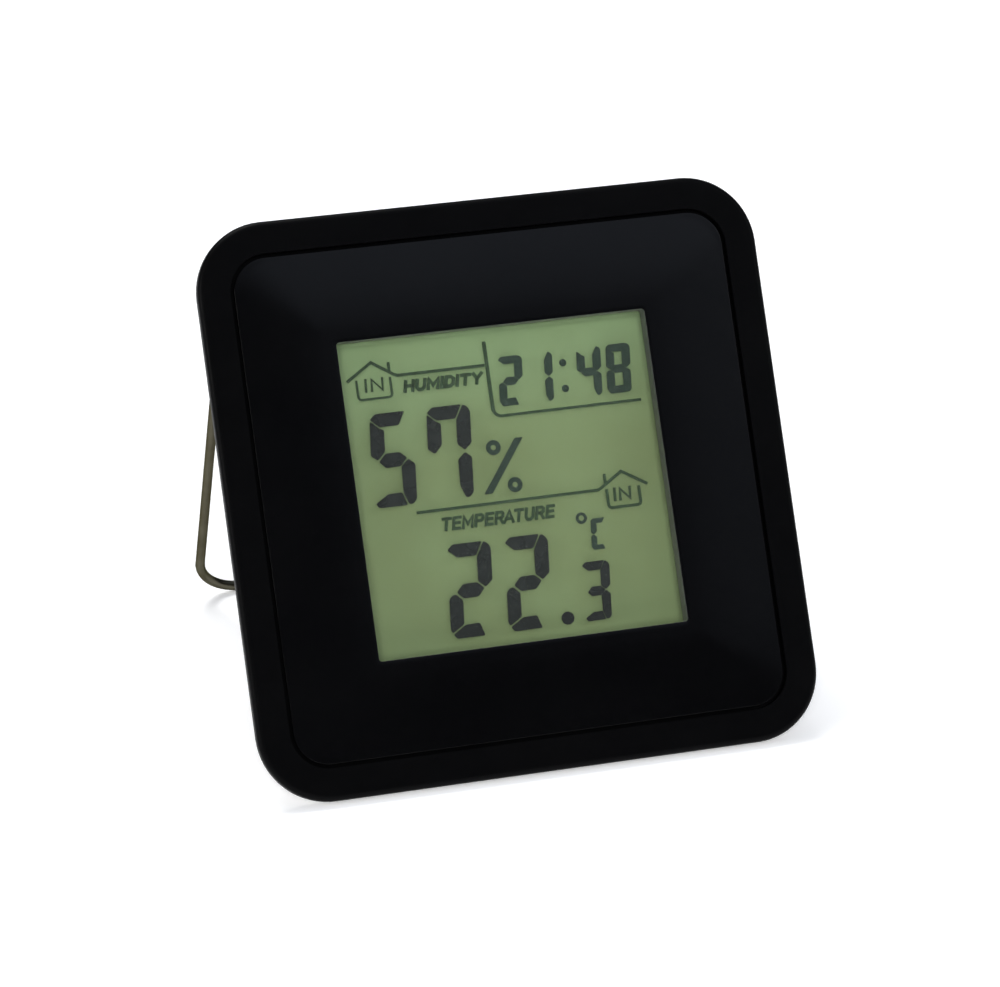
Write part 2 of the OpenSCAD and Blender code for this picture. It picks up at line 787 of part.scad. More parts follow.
module thermistor() {
  y0 = board_back + seat_gap + bead_leads;
  color([0.15, 0.12, 0.1])
    leaned()
      translate([bead_x, 0, bead_z])
        union() {
          translate([0, y0, 0])
            sphere(bead_radius);
          for (s = [-1, 1])
            post(lead_radius, board_back + seat_gap, y0, s * bead_radius / 2, 0);
        }
}

module board_screws() {
  color([0.7, 0.7, 0.72])
    leaned()
      for (p = board_screw_places)
        union() {
          post(board_screw_radius, board_front - board_screw_bite, board_back + 0.5, p[0], p[1]);
          post(board_head_radius, board_back + seat_gap, board_back + seat_gap + board_head_height,
            p[0], p[1]);
        }
}

module switch_bodies() {
  color([0.12, 0.12, 0.12])
    leaned()
      for (x = key_places)
        difference() {
          block(x - switch_width / 2, x + switch_width / 2, board_back + seat_gap, switch_back,
            key_z - switch_width / 2, key_z + switch_width / 2);
          post(plunger_radius + plunger_clearance, switch_back - plunger_depth - key_travel - 0.4,
            switch_back + 1, x, key_z);
        }
}

// Switch plunger at sideways place x.
module plunger(x) {
  color([0.7, 0.2, 0.15])
    leaned()
      post(plunger_radius, switch_back - plunger_depth, plunger_back, x, key_z);
}

module mode_plunger() {
  plunger(key_places[0]);
}

module adjust_plunger() {
  plunger(key_places[1]);
}

module memory_plunger() {
  plunger(key_places[2]);
}

// Half cross-section of a key's cap, its rim rounded, from height 0 to its top.
module key_profile() {
  top = case_depth + key_rise - key_flange_back + lap;
  square([key_radius, top - key_round]);
  square([key_radius - key_round, top]);
  translate([key_radius - key_round, top - key_round])
    intersection() {
      circle(key_round);
      square(key_round);
    }
}

// Rear key at sideways place x: cap, stop flange and the stem that meets the plunger.
module rear_key(x) {
  color([0.2, 0.2, 0.21])
    leaned()
      union() {
        translate([x, key_flange_back - lap, key_z])
          rotate([-90, 0, 0])
            rotate_extrude()
              key_profile();
        post(key_radius + key_flange_width, key_flange_front, key_flange_back, x, key_z);
        post(key_stem_radius, plunger_back + seat_gap, key_flange_front + lap, x, key_z);
      }
}

module mode_key() {
  rear_key(key_places[0]);
}

module adjust_key() {
  rear_key(key_places[1]);
}

module memory_key() {
  rear_key(key_places[2]);
}

// Frame of the opened stand: z' runs up the legs, y' out of their plane, origin on the pivot.
module stand_frame() {
  translate([0, pivot_depth, pivot_z])
    rotate([stand_angle, 0, 0])
      children();
}

module cover_body() {
  translate([0, 0, cover_middle])
    swept_frame(cover_width, cover_height, cover_corner_radius)
      cover_profile();
  translate([0, 0, cover_middle])
    slab(wall_front, case_depth)
      rounded_outline(cover_width - 2 * cover_wall - 4 * lap, cover_height - 2 * cover_wall - 4 * lap,
        cover_corner_radius - cover_wall - 2 * lap);
  block(-bay_length / 2 - bay_wall, bay_length / 2 + bay_wall, bay_floor_front, wall_front + lap,
    bay_z - bay_half_height - bay_wall, bay_z + bay_half_height + bay_wall);
  block(-pin_pad_start - ledge_rim, pin_pad_start + ledge_rim, wall_front - door_lift - ledge_depth,
    wall_front + lap, door_axis_z - door_barrel - door_gap - ledge_rim, door_top + door_gap + ledge_rim);
  for (s = [-1, 1])
    block(s > 0 ? pin_pad_start : -pin_pad_end, s > 0 ? pin_pad_end : -pin_pad_start,
      wall_front - pin_pad, wall_front + lap, door_axis_z - door_pin_radius - pin_pad,
      door_axis_z + door_barrel + pin_pad);
  for (p = cover_screw_places)
    post(well_radius + well_wall, well_front, wall_front + lap, p[0], p[1]);
  for (x = key_places)
    post(sleeve_radius, sleeve_front, wall_front + lap, x, key_z);
  block(-keyhole_radius - pocket_room - pocket_wall, keyhole_radius + pocket_room + pocket_wall,
    wall_front - pocket_depth - pocket_wall, wall_front + lap,
    keyhole_z - keyhole_radius - pocket_room - pocket_wall, inner_top + lap);
  for (s = [-1, 1]) {
    axle(pivot_boss_radius, s > 0 ? inner_half - pivot_boss_length : -inner_half - lap,
      s > 0 ? inner_half + lap : -inner_half + pivot_boss_length, pivot_depth, pivot_z);
    stand_frame()
      block(s > 0 ? cover_width / 2 - lap : -leg_x - wire_radius,
        s > 0 ? leg_x + wire_radius : -cover_width / 2 + lap,
        wire_radius + stop_gap, wire_radius + stop_gap + stop_thickness, -stop_end, -stop_start);
  }
}

module back_cover() {
  x_bay = bay_length / 2;
  color([0.06, 0.06, 0.065])
    leaned()
      difference() {
        cover_body();
        block(-x_bay, x_bay, bay_floor_back, case_depth + 1, bay_z - bay_half_height,
          bay_z + bay_half_height);
        block(-door_half_width - door_gap, door_half_width + door_gap, wall_front - door_lift,
          case_depth + 1, door_axis_z - door_barrel - door_gap, door_top + door_gap);
        block(-notch_width / 2, notch_width / 2, case_depth - notch_depth, case_depth + 1,
          door_top, door_top + door_gap + notch_height);
        for (s = [-1, 1]) {
          axle(door_pin_radius + door_pin_clearance,
            s > 0 ? door_half_width : -pin_bore_end, s > 0 ? pin_bore_end : -door_half_width,
            door_axis_y, door_axis_z);
          axle(wire_radius + pivot_clearance, s > 0 ? inner_half - pivot_boss_length - 1 : -cover_width,
            s > 0 ? cover_width : -inner_half + pivot_boss_length + 1, pivot_depth, pivot_z);
          block(s > 0 ? tail_slot_start : -x_bay - lap, s > 0 ? x_bay + lap : -tail_slot_start,
            bay_floor_front - 1, bay_floor_back + 1, bay_z - tail_width / 2 - tail_play,
            bay_z + tail_width / 2 + tail_play);
        }
        for (p = cover_screw_places) {
          post(well_radius, well_back, case_depth + 1, p[0], p[1]);
          post(cover_screw_radius + screw_clearance, well_front - 1, well_back + 1, p[0], p[1]);
        }
        for (x = key_places)
          post(key_radius + key_gap, sleeve_front - 1, case_depth + 1, x, key_z);
        block(-keyhole_radius - pocket_room, keyhole_radius + pocket_room, wall_front - pocket_depth,
          wall_front, keyhole_z - keyhole_radius - pocket_room, inner_top - pocket_wall);
        post(keyhole_radius, wall_front - 1, case_depth + 1, 0, keyhole_z);
        post(keyhole_slot / 2, wall_front - 1, case_depth + 1, 0, keyhole_z + keyhole_rise);
        block(-keyhole_slot / 2, keyhole_slot / 2, wall_front - 1, case_depth + 1, keyhole_z,
          keyhole_z + keyhole_rise);
        for (s = [-1, 1], i = [0 : vent_count - 1])
          block(s * vent_x - vent_length / 2, s * vent_x + vent_length / 2, wall_front - 1,
            case_depth + 1, vent_z + i * vent_pitch - vent_width / 2,
            vent_z + i * vent_pitch + vent_width / 2);
      }
}

module battery_door() {
  color([0.07, 0.07, 0.075])
    leaned()
      union() {
        block(-door_half_width, door_half_width, wall_front, case_depth, door_axis_z, door_top);
        axle(door_barrel, -door_half_width, door_half_width, door_axis_y, door_axis_z);
        for (i = [1 : ridge_count])
          block(-notch_width / 2, notch_width / 2, case_depth - lap, case_depth + ridge_height,
            door_top - i * ridge_pitch - ridge_width / 2, door_top - i * ridge_pitch + ridge_width / 2);
        axle(door_pin_radius, -door_half_width - door_gap - door_pin_length,
          door_half_width + door_gap + door_pin_length, door_axis_y, door_axis_z);
      }
}

module battery_cell() {
  x0 = cell_end_x - cell_length;
  color([0.25, 0.3, 0.35])
    leaned()
      union() {
        axle(cell_radius, x0, cell_end_x - nub_length, cell_y, bay_z);
        axle(nub_radius, cell_end_x - nub_length - 0.5, cell_end_x, cell_y, bay_z);
      }
}

// Contact plate with its tail to the board, its bay-end face at x0.
module contact_plate(x0) {
  block(x0, x0 + contact_thickness, bay_floor_back + seat_gap, wall_front - door_lift - contact_set,
    bay_z - contact_width / 2, bay_z + contact_width / 2);
  block(x0, x0 + contact_thickness, board_back + seat_gap, bay_floor_back + 0.5,
    bay_z - tail_width / 2, bay_z + tail_width / 2);
}

// Coil of wire along x from x0, narrowing towards the cell.
module coil(x0, length) {
  steps = 14 * spring_turns;
  sides = 8;
  points = [
    for (i = [0 : steps], j = [0 : sides - 1])
      let (
        t = i / steps,
        a = 360 * spring_turns * t,
        b = 360 * j / sides,
        r = spring_radius * (1 - 0.35 * t) + spring_wire_radius * cos(b)
      )
      [x0 + length * t + spring_wire_radius * sin(b), r * cos(a), r * sin(a)]
  ];
  sheets = [
    for (i = [0 : steps - 1], j = [0 : sides - 1])
      [i * sides + j, i * sides + (j + 1) % sides, (i + 1) * sides + (j + 1) % sides, (i + 1) * sides + j]
  ];
  ends = [
    [for (j = [0 : sides - 1]) sides - 1 - j],
    [for (j = [0 : sides - 1]) steps * sides + j]
  ];
  polyhedron(points = points, faces = concat(sheets, ends), convexity = 6);
}

module spring_contact() {
  x0 = -bay_length / 2 + contact_play;
  x1 = x0 + contact_thickness;
  x2 = cell_end_x - cell_length - seat_gap;
  color([0.75, 0.75, 0.75])
    leaned()
      union() {
        contact_plate(x0);
        translate([0, cell_y, bay_z])
          coil(x1, x2 - x1 - spring_wire_radius);
      }
}

module plate_contact() {
  color([0.75, 0.75, 0.75])
    leaned()
      contact_plate(plate_x);
}

module cover_screws() {
  color([0.7, 0.7, 0.72])
    leaned()
      for (p = cover_screw_places)
        union() {
          post(cover_screw_radius, cover_boss_top - cover_screw_bite, well_back + 0.5, p[0], p[1]);
          difference() {
            post(cover_head_radius, well_back + seat_gap, well_back + seat_gap + cover_head_height,
              p[0], p[1]);
            translate([p[0], well_back + seat_gap + cover_head_height, p[1]]) {
              cube([cross_length, 2 * cross_depth, cross_width], center = true);
              cube([cross_width, 2 * cross_depth, cross_length], center = true);
            }
          }
        }
}

// Straight stretch of wire in the stand's plane from p to q, each [x, z'], let into bends at its ends.
module wire_run(p, q, enter_p, enter_q) {
  d = q - p;
  translate([p[0], 0, p[1]])
    rotate([0, atan2(d[0], d[1]), 0])
      translate([0, 0, -enter_p])
        cylinder(r = wire_radius, h = norm(d) + enter_p + enter_q);
}

// Bend of the wire around centre c from direction a0 over sweep degrees in the stand's plane.
module wire_bend(c, radius, a0, sweep) {
  translate([c[0], 0, c[1]])
    rotate([90, 0, 0])
      rotate([0, 0, a0])
        rotate_extrude(angle = sweep)
          translate([radius, 0])
            circle(wire_radius + bend_swell);
}

// Right leg of the stand from its end in the cover to the foot bar's end.
module stand_leg() {
  wire_run([tail_start, 0], [leg_x - bend_radius, 0], 0, lap);
  wire_bend([leg_x - bend_radius, -bend_radius], bend_radius, 0, 90);
  wire_run([leg_x, -bend_radius], [leg_x, -leg_length + foot_bend_radius], lap, lap);
  wire_bend([bar_half, -leg_length + foot_bend_radius], foot_bend_radius, -90, 90);
}

module wire_stand() {
  color([0.45, 0.44, 0.4])
    leaned()
      stand_frame()
        union() {
          stand_leg();
          mirror([1, 0, 0])
            stand_leg();
          wire_run([-bar_half, -leg_length], [bar_half, -leg_length], lap, lap);
        }
}

front_frame();
front_panel();
panel_tape();
window_lens();
lcd_cell();
lcd_reflector();
contact_strips();
lcd_carrier();
circuit_board();
controller_blob();
timing_crystal();
board_components();
humidity_element();
thermistor();
board_screws();
switch_bodies();
mode_plunger();
adjust_plunger();
memory_plunger();
mode_key();
adjust_key();
memory_key();
back_cover();
battery_door();
battery_cell();
spring_contact();
plate_contact();
cover_screws();
wire_stand();
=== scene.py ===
"""Looks of a desk thermo-hygrometer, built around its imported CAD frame.

Every new piece is worked out in the face's own frame: x to the viewer's right, depth back from
the ring's front face, and height up the face from its centre, all in millimetres. FaceFrame
turns those into the metres of the row frame.
"""

import json
import logging
import math
from abc import ABC, abstractmethod
from dataclasses import dataclass
from enum import Enum
from typing import Sequence

import bpy
import numpy as np
from mathutils import Matrix


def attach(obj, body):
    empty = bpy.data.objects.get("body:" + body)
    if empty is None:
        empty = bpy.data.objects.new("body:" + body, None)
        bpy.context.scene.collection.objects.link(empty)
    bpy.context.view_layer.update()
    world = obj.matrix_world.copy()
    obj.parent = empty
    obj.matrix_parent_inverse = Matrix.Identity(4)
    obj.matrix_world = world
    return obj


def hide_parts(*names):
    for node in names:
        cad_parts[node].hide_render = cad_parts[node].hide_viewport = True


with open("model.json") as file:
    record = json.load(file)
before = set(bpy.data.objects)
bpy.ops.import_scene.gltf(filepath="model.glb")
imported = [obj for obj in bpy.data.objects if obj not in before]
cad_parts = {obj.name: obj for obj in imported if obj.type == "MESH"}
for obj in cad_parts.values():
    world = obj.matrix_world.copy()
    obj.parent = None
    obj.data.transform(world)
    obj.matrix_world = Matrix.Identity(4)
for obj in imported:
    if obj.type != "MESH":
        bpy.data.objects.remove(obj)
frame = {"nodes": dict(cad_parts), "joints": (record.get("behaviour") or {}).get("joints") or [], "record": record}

log = logging.getLogger("hygrometer")

Colour = tuple[float, float, float]
Vector = tuple[float, float, float]
Point = tuple[float, float]
Span = tuple[float, float]

MM_IN_METRE = 1000
PICTURE_WIDTH = 1000  # pixels
WELD_DISTANCE = 2e-6  # metres
LONGEST_MITRE = 1.7  # in halves of a ribbon's width
CORNER_CUT = 0.3  # a round corner's middle lies about this share of its radius from both sides
NOISE_SPAN: Span = (0.3, 0.7)  # where most of a noise's values lie


class Body(Enum):
    """The body that the new pieces ride on."""

    CASE = "case"


class Operation(Enum):
    """Sums that a node works out: the node's type and Blender's name of the sum."""

    LARGER = ("Math", "MAXIMUM")
    PRODUCT = ("Math", "MULTIPLY")
    SCALED_SUM = ("Math", "MULTIPLY_ADD")
    LENGTH = ("VectorMath", "LENGTH")
    COSINE = ("VectorMath", "DOT_PRODUCT")


def unit(vectors: np.ndarray) -> np.ndarray:
    """Vectors of length 1, along the last axis."""
    return vectors / np.linalg.norm(vectors, axis=-1, keepdims=True)


@dataclass(frozen=True)
class FaceFrame:
    """The leaning frame of the face.

    Attributes:
        cosine: Cosine of the lean.
        sine: Sine of the lean.
        back: Shift along the row frame's y, in mm.
        lift: Shift along the row frame's z, in mm.
    """

    cosine: float
    sine: float
    back: float
    lift: float

    @classmethod
    def from_joints(cls, joints: Sequence[dict], depth: float = 12.0, up: float = 26.7) -> "FaceFrame":
        """Reads the lean from a key's travel and the shift from the stand's pivot.

        Args:
            joints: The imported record's joints.
            depth: The pivot's depth in the face's frame, in mm.
            up: The pivot's height in the face's frame, in mm.

        Returns:
            The frame in which the ring's face is the plane of depth 0.
        """
        by_name = {joint["name"]: joint for joint in joints}
        _, y, z = by_name["mode_press"]["axis"]
        cosine, sine = -y / math.hypot(y, z), z / math.hypot(y, z)
        _, pivot_y, pivot_z = (MM_IN_METRE * value for value in by_name["stand_swing"]["pos_m"])
        return cls(
            cosine,
            sine,
            pivot_y - depth * cosine - up * sine,
            pivot_z + depth * sine - up * cosine,
        )

    def turn(self, vectors: np.ndarray) -> np.ndarray:
        """Turns directions by the lean: y' = d cos + u sin, z' = u cos - d sin.

        Args:
            vectors: Rows of x, depth and height.

        Returns:
            Rows of x, y and z in the row frame.
        """
        v = np.asarray(vectors, dtype=float)
        x, d, u = v[..., 0], v[..., 1], v[..., 2]
        return np.stack([x, d * self.cosine + u * self.sine, u * self.cosine - d * self.sine], axis=-1)

    def place(self, points: np.ndarray) -> np.ndarray:
        """Turns points as directions are turned, shifts them and gives them in metres.

        Args:
            points: Rows of x, depth and height in mm.

        Returns:
            Rows of x, y and z in metres.
        """
        return (self.turn(points) + np.array([0.0, self.back, self.lift])) / MM_IN_METRE


def linked(name: str, data: bpy.types.ID) -> bpy.types.Object:
    """Makes an object of a mesh, lamp or camera.

    Args:
        name: Name of the object.
        data: What it shows.

    Returns:
        The new object, linked to the scene.
    """
    made = bpy.data.objects.new(name, data)
    bpy.context.scene.collection.objects.link(made)
    return made


def shade(piece: bpy.types.Object, angle: float, weld: bool = False) -> None:
    """Shades a piece smoothly, with creases where its faces meet at more than an angle.

    Args:
        piece: The object.
        angle: The angle in degrees; 0 leaves flat faces.
        weld: Whether loose triangles are joined first.
    """
    if angle <= 0:
        return
    flags = np.ones(len(piece.data.polygons), dtype=bool)
    piece.data.polygons.foreach_set("use_smooth", flags)
    if weld:
        joint = piece.modifiers.new("weld", "WELD")
        joint.merge_threshold = WELD_DISTANCE
    crease = piece.modifiers.new("crease", "EDGE_SPLIT")
    crease.split_angle = math.radians(angle)


@dataclass
class Shell:
    """A closed surface in the face's frame.

    Attributes:
        points: Rows of x, depth and height in mm.
        faces: Point numbers of each face.
    """

    points: np.ndarray
    faces: list[tuple[int, ...]]

    @staticmethod
    def joined(shells: Sequence["Shell"]) -> "Shell":
        """Puts shells together as one, each face number raised by the points before it.

        Args:
            shells: The shells to join.

        Returns:
            One shell of them all.
        """
        starts = np.cumsum([0] + [len(shell.points) for shell in shells])
        faces = [
            tuple(int(start) + i for i in face)
            for start, shell in zip(starts, shells)
            for face in shell.faces
        ]
        return Shell(np.concatenate([shell.points for shell in shells]), faces)

    def outward(self) -> "Shell":
        """Turns the faces outwards.

        The volume is the sum of a . (b x c) / 6 over the triangles that fan out from each face's
        first point. Where it is negative, every face is reversed.

        Returns:
            This shell with its faces pointing outwards.
        """
        fans = np.array([(f[0], f[i], f[i + 1]) for f in self.faces for i in range(1, len(f) - 1)])
        a, b, c = (self.points[fans[:, k]] for k in range(3))
        if np.einsum("ij,ij->", a, np.cross(b, c)) < 0:
            return Shell(self.points, [tuple(reversed(face)) for face in self.faces])
        return self

    def make(
        self, name: str, face: FaceFrame, material: bpy.types.Material, smooth: float = 0.0
    ) -> bpy.types.Object:
        """Makes a Blender object of the shell, its place in its mesh.

        Args:
            name: Name of the piece.
            face: The face's frame.
            material: The piece's finish.
            smooth: Angle in degrees up to which neighbouring faces shade as one.

        Returns:
            The new object, linked to the scene.
        """
        mesh = bpy.data.meshes.new(name)
        mesh.from_pydata(face.place(self.points).tolist(), [], self.faces)
        mesh.materials.append(material)
        mesh.update()
        piece = linked(name, mesh)
        shade(piece, smooth)
        return piece


def grid_faces(rows: int, columns: int, wrap_rows: bool) -> list[tuple[int, ...]]:
    """Quads of a grid whose columns close on themselves.

    Args:
        rows: Number of rows.
        columns: Number of points in a row.
        wrap_rows: Whether the last row is joined to the first.

    Returns:
        Point numbers of each quad.
    """
    r, c = np.meshgrid(np.arange(rows if wrap_rows else rows - 1), np.arange(columns), indexing="ij")
    r2, c2 = (r + 1) % rows, (c + 1) % columns
    quads = np.stack([r * columns + c, r * columns + c2, r2 * columns + c2, r2 * columns + c], axis=-1)
    return [tuple(quad) for quad in quads.reshape(-1, 4).tolist()]


def carried(loops: np.ndarray, wrap: bool) -> Shell:
    """Joins loops of points, each to the next.

    Args:
        loops: For each loop, rows of x, depth and height.
        wrap: Whether the last loop is joined to the first; if not, caps close both ends.

    Returns:
        The closed shell.
    """
    rows, columns = loops.shape[:2]
    faces = grid_faces(rows, columns, wrap)
    if not wrap:
        end = rows * columns
        faces += [tuple(range(columns - 1, -1, -1)), tuple(range(end - columns, end))]
    return Shell(loops.reshape(-1, 3), faces).outward()


def at_depth(outline: np.ndarray, depth: float) -> np.ndarray:
    """Rows of x, depth and height: an outline's points, all at one depth."""
    return np.insert(outline, 1, depth, axis=1)


def circle(centre: Point, radius: float, count: int = 28) -> np.ndarray:
    """Points centre + radius (cos t, sin t) round a circle.

    Args:
        centre: The circle's centre.
        radius: Its radius.
        count: Number of points.

    Returns:
        Rows of x and height.
    """
    t = np.linspace(0.0, 2 * np.pi, count, endpoint=False)
    return np.asarray(centre) + radius * np.stack([np.cos(t), np.sin(t)], axis=-1)


def rounded_loop(half: float, radius: float, side: int = 18, corner: int = 14) -> np.ndarray:
    """Points round a square with rounded corners.

    A quarter is the arc (half - radius) + radius (cos t, sin t) for t from 0 to a right angle and
    the straight run to the next quarter's start; the other quarters are it turned by right angles.

    Args:
        half: Half the square's width.
        radius: Radius of its corners.
        side: Steps along a side.
        corner: Steps round a corner.

    Returns:
        Rows of x and height, anticlockwise.
    """
    t = np.linspace(0.0, np.pi / 2, corner + 1)
    arc = (half - radius) + radius * np.stack([np.cos(t), np.sin(t)], axis=-1)
    last, following = arc[-1], np.array([-arc[0, 1], arc[0, 0]])
    s = np.linspace(0.0, 1.0, side + 1)[1:-1, None]
    quarter = np.concatenate([arc, last + s * (following - last)])
    right_angle = np.array([[0, -1], [1, 0]])
    return np.concatenate([quarter @ np.linalg.matrix_power(right_angle, k).T for k in range(4)])


def square_ring(section: Sequence[Sequence[float]] | np.ndarray) -> np.ndarray:
    """Carries a section round the face: each of its points becomes a rounded square.

    Args:
        section: Rows of half width, corner radius and depth.

    Returns:
        For each row, a loop of x, depth and height.
    """
    return np.stack([at_depth(rounded_loop(half, corner), depth) for half, corner, depth in section])


def eased(outline: np.ndarray, radius: float) -> np.ndarray:
    """Rounds an outline's corners.

    Each is cut at a radius along both edges, with a middle point (p + 2 corner + q) / 4 between
    the cuts p and q.

    Args:
        outline: Rows of x and height.
        radius: Distance of the cuts from a corner.

    Returns:
        The outline with three points for each corner.
    """
    p, q = (outline + radius * unit(np.roll(outline, by, axis=0) - outline) for by in (1, -1))
    return np.stack([p, (p + 2 * outline + q) / 4, q], axis=1).reshape(-1, 2)


def mitred(before: np.ndarray, after: np.ndarray) -> np.ndarray:
    """Mitres (n1 + n2) / (1 + n1 . n2) of the unit normals on both sides of each point.

    Args:
        before: Normals of the edges that end at the points.
        after: Normals of the edges that start there.

    Returns:
        Rows of x and height.
    """
    return (before + after) / (1 + np.einsum("ij,ij->i", before, after))[:, None]


def grown(outline: np.ndarray, by: float) -> np.ndarray:
    """Moves an outline's edges outwards: each point goes along the mitre of its edges' normals.

    Args:
        outline: Rows of x and height.
        by: Distance that the edges move.

    Returns:
        The larger outline.
    """
    step = np.roll(outline, -1, axis=0) - outline
    turn = math.copysign(1.0, np.sum(outline[:, 0] * step[:, 1] - outline[:, 1] * step[:, 0]))
    step = unit(step)
    after = turn * np.stack([step[:, 1], -step[:, 0]], axis=-1)
    return outline + by * mitred(np.roll(after, 1, axis=0), after)


def prism(outline: np.ndarray, front: float, back: float) -> Shell:
    """Carries an outline straight back: the same loop at two depths, closed by two caps.

    Args:
        outline: Rows of x and height.
        front: Depth of the front cap.
        back: Depth of the back cap.

    Returns:
        The closed shell.
    """
    return carried(np.stack([at_depth(outline, depth) for depth in (front, back)]), wrap=False)


def ribbon(
    path: Sequence[Point] | np.ndarray, half: float | np.ndarray, front: float, back: float,
    closed: bool = False,
) -> Shell:
    """Carries a flat rectangle along a path on the face.

    At each point the edges lie at +-half along the mitre of the normals on both sides, which is
    held to LONGEST_MITRE, and the four corners of front and back follow them.

    Args:
        path: Rows of x and height.
        half: Half the width, one or one for each point.
        front: Depth of the front.
        back: Depth of the back.
        closed: Whether the path is a loop.

    Returns:
        The closed shell.
    """
    p = np.asarray(path, dtype=float)
    steps = unit(np.roll(p, -1, axis=0) - p if closed else np.diff(p, axis=0))
    normals = np.stack([-steps[:, 1], steps[:, 0]], axis=-1)
    after = normals if closed else np.concatenate([normals, normals[-1:]])
    before = np.roll(normals, 1, axis=0) if closed else np.concatenate([normals[:1], normals])
    mitre = mitred(before, after)
    length = np.linalg.norm(mitre, axis=1, keepdims=True)
    mitre *= np.minimum(length, LONGEST_MITRE) / length
    offset = mitre * np.broadcast_to(half, len(p))[:, None]
    left, right = p + offset, p - offset
    corners = ((left, front), (right, front), (right, back), (left, back))
    return carried(np.stack([at_depth(side, depth) for side, depth in corners], axis=1), closed)


class NodeTree:
    """A node tree while it is put together.

    Attributes:
        tree: Blender's tree.
    """

    def __init__(self, tree: bpy.types.NodeTree) -> None:
        """Starts with an emptied tree.

        Args:
            tree: Blender's tree.
        """
        self.tree = tree
        self.tree.nodes.clear()

    def node(self, kind: str, **constants: float | Sequence[float]) -> bpy.types.Node:
        """Adds a node.

        Args:
            kind: The node's type, without Blender's prefix.
            **constants: Names of its inputs, with _ for a space, and their constants.

        Returns:
            The node.
        """
        node = self.tree.nodes.new("ShaderNode" + kind)
        for name, value in constants.items():
            node.inputs[name.replace("_", " ")].default_value = value
        return node

    def link(self, start: bpy.types.NodeSocket, end: bpy.types.NodeSocket) -> None:
        """Links a node's output to another's input."""
        self.tree.links.new(start, end)

    def run(
        self, value: bpy.types.NodeSocket, source: Span, target: Span, smooth: bool = False
    ) -> bpy.types.NodeSocket:
        """Lets a number run over a target span while a value runs over its own span.

        Args:
            value: Socket of the value.
            source: The value's span.
            target: The number's span.
            smooth: Whether the run starts and ends softly.

        Returns:
            Socket of the number, which stays in its span.
        """
        (low, high), (start, end) = source, target
        span = self.node("MapRange", From_Min=low, From_Max=high, To_Min=start, To_Max=end)
        span.interpolation_type = "SMOOTHSTEP" if smooth else "LINEAR"
        self.link(value, span.inputs["Value"])
        return span.outputs["Result"]

    def reckon(
        self, operation: Operation, *values: bpy.types.NodeSocket | float | Vector
    ) -> bpy.types.NodeSocket:
        """Works out a sum.

        Args:
            operation: The sum.
            *values: Sockets or constants, in the order of the node's inputs.

        Returns:
            Socket of the result.
        """
        kind, name = operation.value
        node = self.node(kind)
        node.operation = name
        for place, value in zip(node.inputs, values):
            if isinstance(value, bpy.types.NodeSocket):
                self.link(value, place)
            else:
                place.default_value = value
        return node.outputs["Value"]


class Bench(NodeTree):
    """A material's node tree while it is put together.

    Attributes:
        material: The material.
        tree: Its node tree.
        shader: Its Principled shader.
        place: Socket of a point's place on the object, in metres.
    """

    def __init__(self, name: str) -> None:
        """Starts a material with one Principled shader.

        Args:
            name: Name of the finish.
        """
        self.material = bpy.data.materials.new(name)
        self.material.use_nodes = True
        super().__init__(self.material.node_tree)
        output = self.node("OutputMaterial")
        self.shader = self.node("BsdfPrincipled")
        self.link(self.shader.outputs["BSDF"], output.inputs["Surface"])
        self.place = self.node("TexCoord").outputs["Object"]

    def set(self, **values: float | Colour) -> None:
        """Sets the shader's own sockets.

        Args:
            **values: Socket names, with _ for a space, and their constants.
        """
        for name, value in values.items():
            socket = self.shader.inputs[name.replace("_", " ")]
            socket.default_value = (*value, 1.0) if isinstance(value, tuple) else value

    def axis(self, letter: str) -> bpy.types.NodeSocket:
        """A point's place along one axis.

        Args:
            letter: X, Y or Z.

        Returns:
            Socket of the place in metres.
        """
        axes = self.node("SeparateXYZ")
        self.link(self.place, axes.inputs["Vector"])
        return axes.outputs[letter]

    def noise(
        self, size: float, detail: float = 2.0, stretch: Vector = (1.0, 1.0, 1.0)
    ) -> bpy.types.NodeSocket:
        """Noise whose lumps have about a given size.

        Args:
            size: Size of the lumps in mm.
            detail: Octaves of finer noise.
            stretch: How much closer the lumps lie along each axis.

        Returns:
            A socket of values round 0.5.
        """
        stretched = self.node("Mapping", Scale=stretch)
        self.link(self.place, stretched.inputs["Vector"])
        lumps = self.node("TexNoise", Scale=MM_IN_METRE / size, Detail=detail)
        self.link(stretched.outputs["Vector"], lumps.inputs["Vector"])
        return lumps.outputs["Fac"]

    def blend(self, factor: bpy.types.NodeSocket, low: Colour, high: Colour) -> None:
        """Lets the base colour run from low to high while a factor runs over NOISE_SPAN.

        Args:
            factor: Socket of the factor.
            low: The first colour.
            high: The last colour.
        """
        ramp = self.node("ValToRGB")
        for stop, place, colour in zip(ramp.color_ramp.elements, NOISE_SPAN, (low, high)):
            stop.position = place
            stop.color = (*colour, 1.0)
        self.link(factor, ramp.inputs["Fac"])
        self.link(ramp.outputs["Color"], self.shader.inputs["Base Color"])

    def vary(self, socket: str, factor: bpy.types.NodeSocket, span: Span) -> None:
        """Lets one of the shader's numbers run over a span while a factor runs over NOISE_SPAN.

        Args:
            socket: Name of the shader's socket.
            factor: Socket of the factor.
            span: The number's first and last value.
        """
        self.link(self.run(factor, NOISE_SPAN, span), self.shader.inputs[socket])

    def emboss(self, layers: Sequence[tuple[bpy.types.NodeSocket, float, float]]) -> None:
        """Roughens the surface by heights, one bump over another.

        Args:
            layers: For each, a socket of heights, the bump's strength and its depth in mm.
        """
        below = None
        for height, strength, depth in layers:
            bump = self.node("Bump", Strength=strength, Distance=depth / MM_IN_METRE)
            self.link(height, bump.inputs["Height"])
            if below is not None:
                self.link(below, bump.inputs["Normal"])
            below = bump.outputs["Normal"]
        if below is not None:
            self.link(below, self.shader.inputs["Normal"])


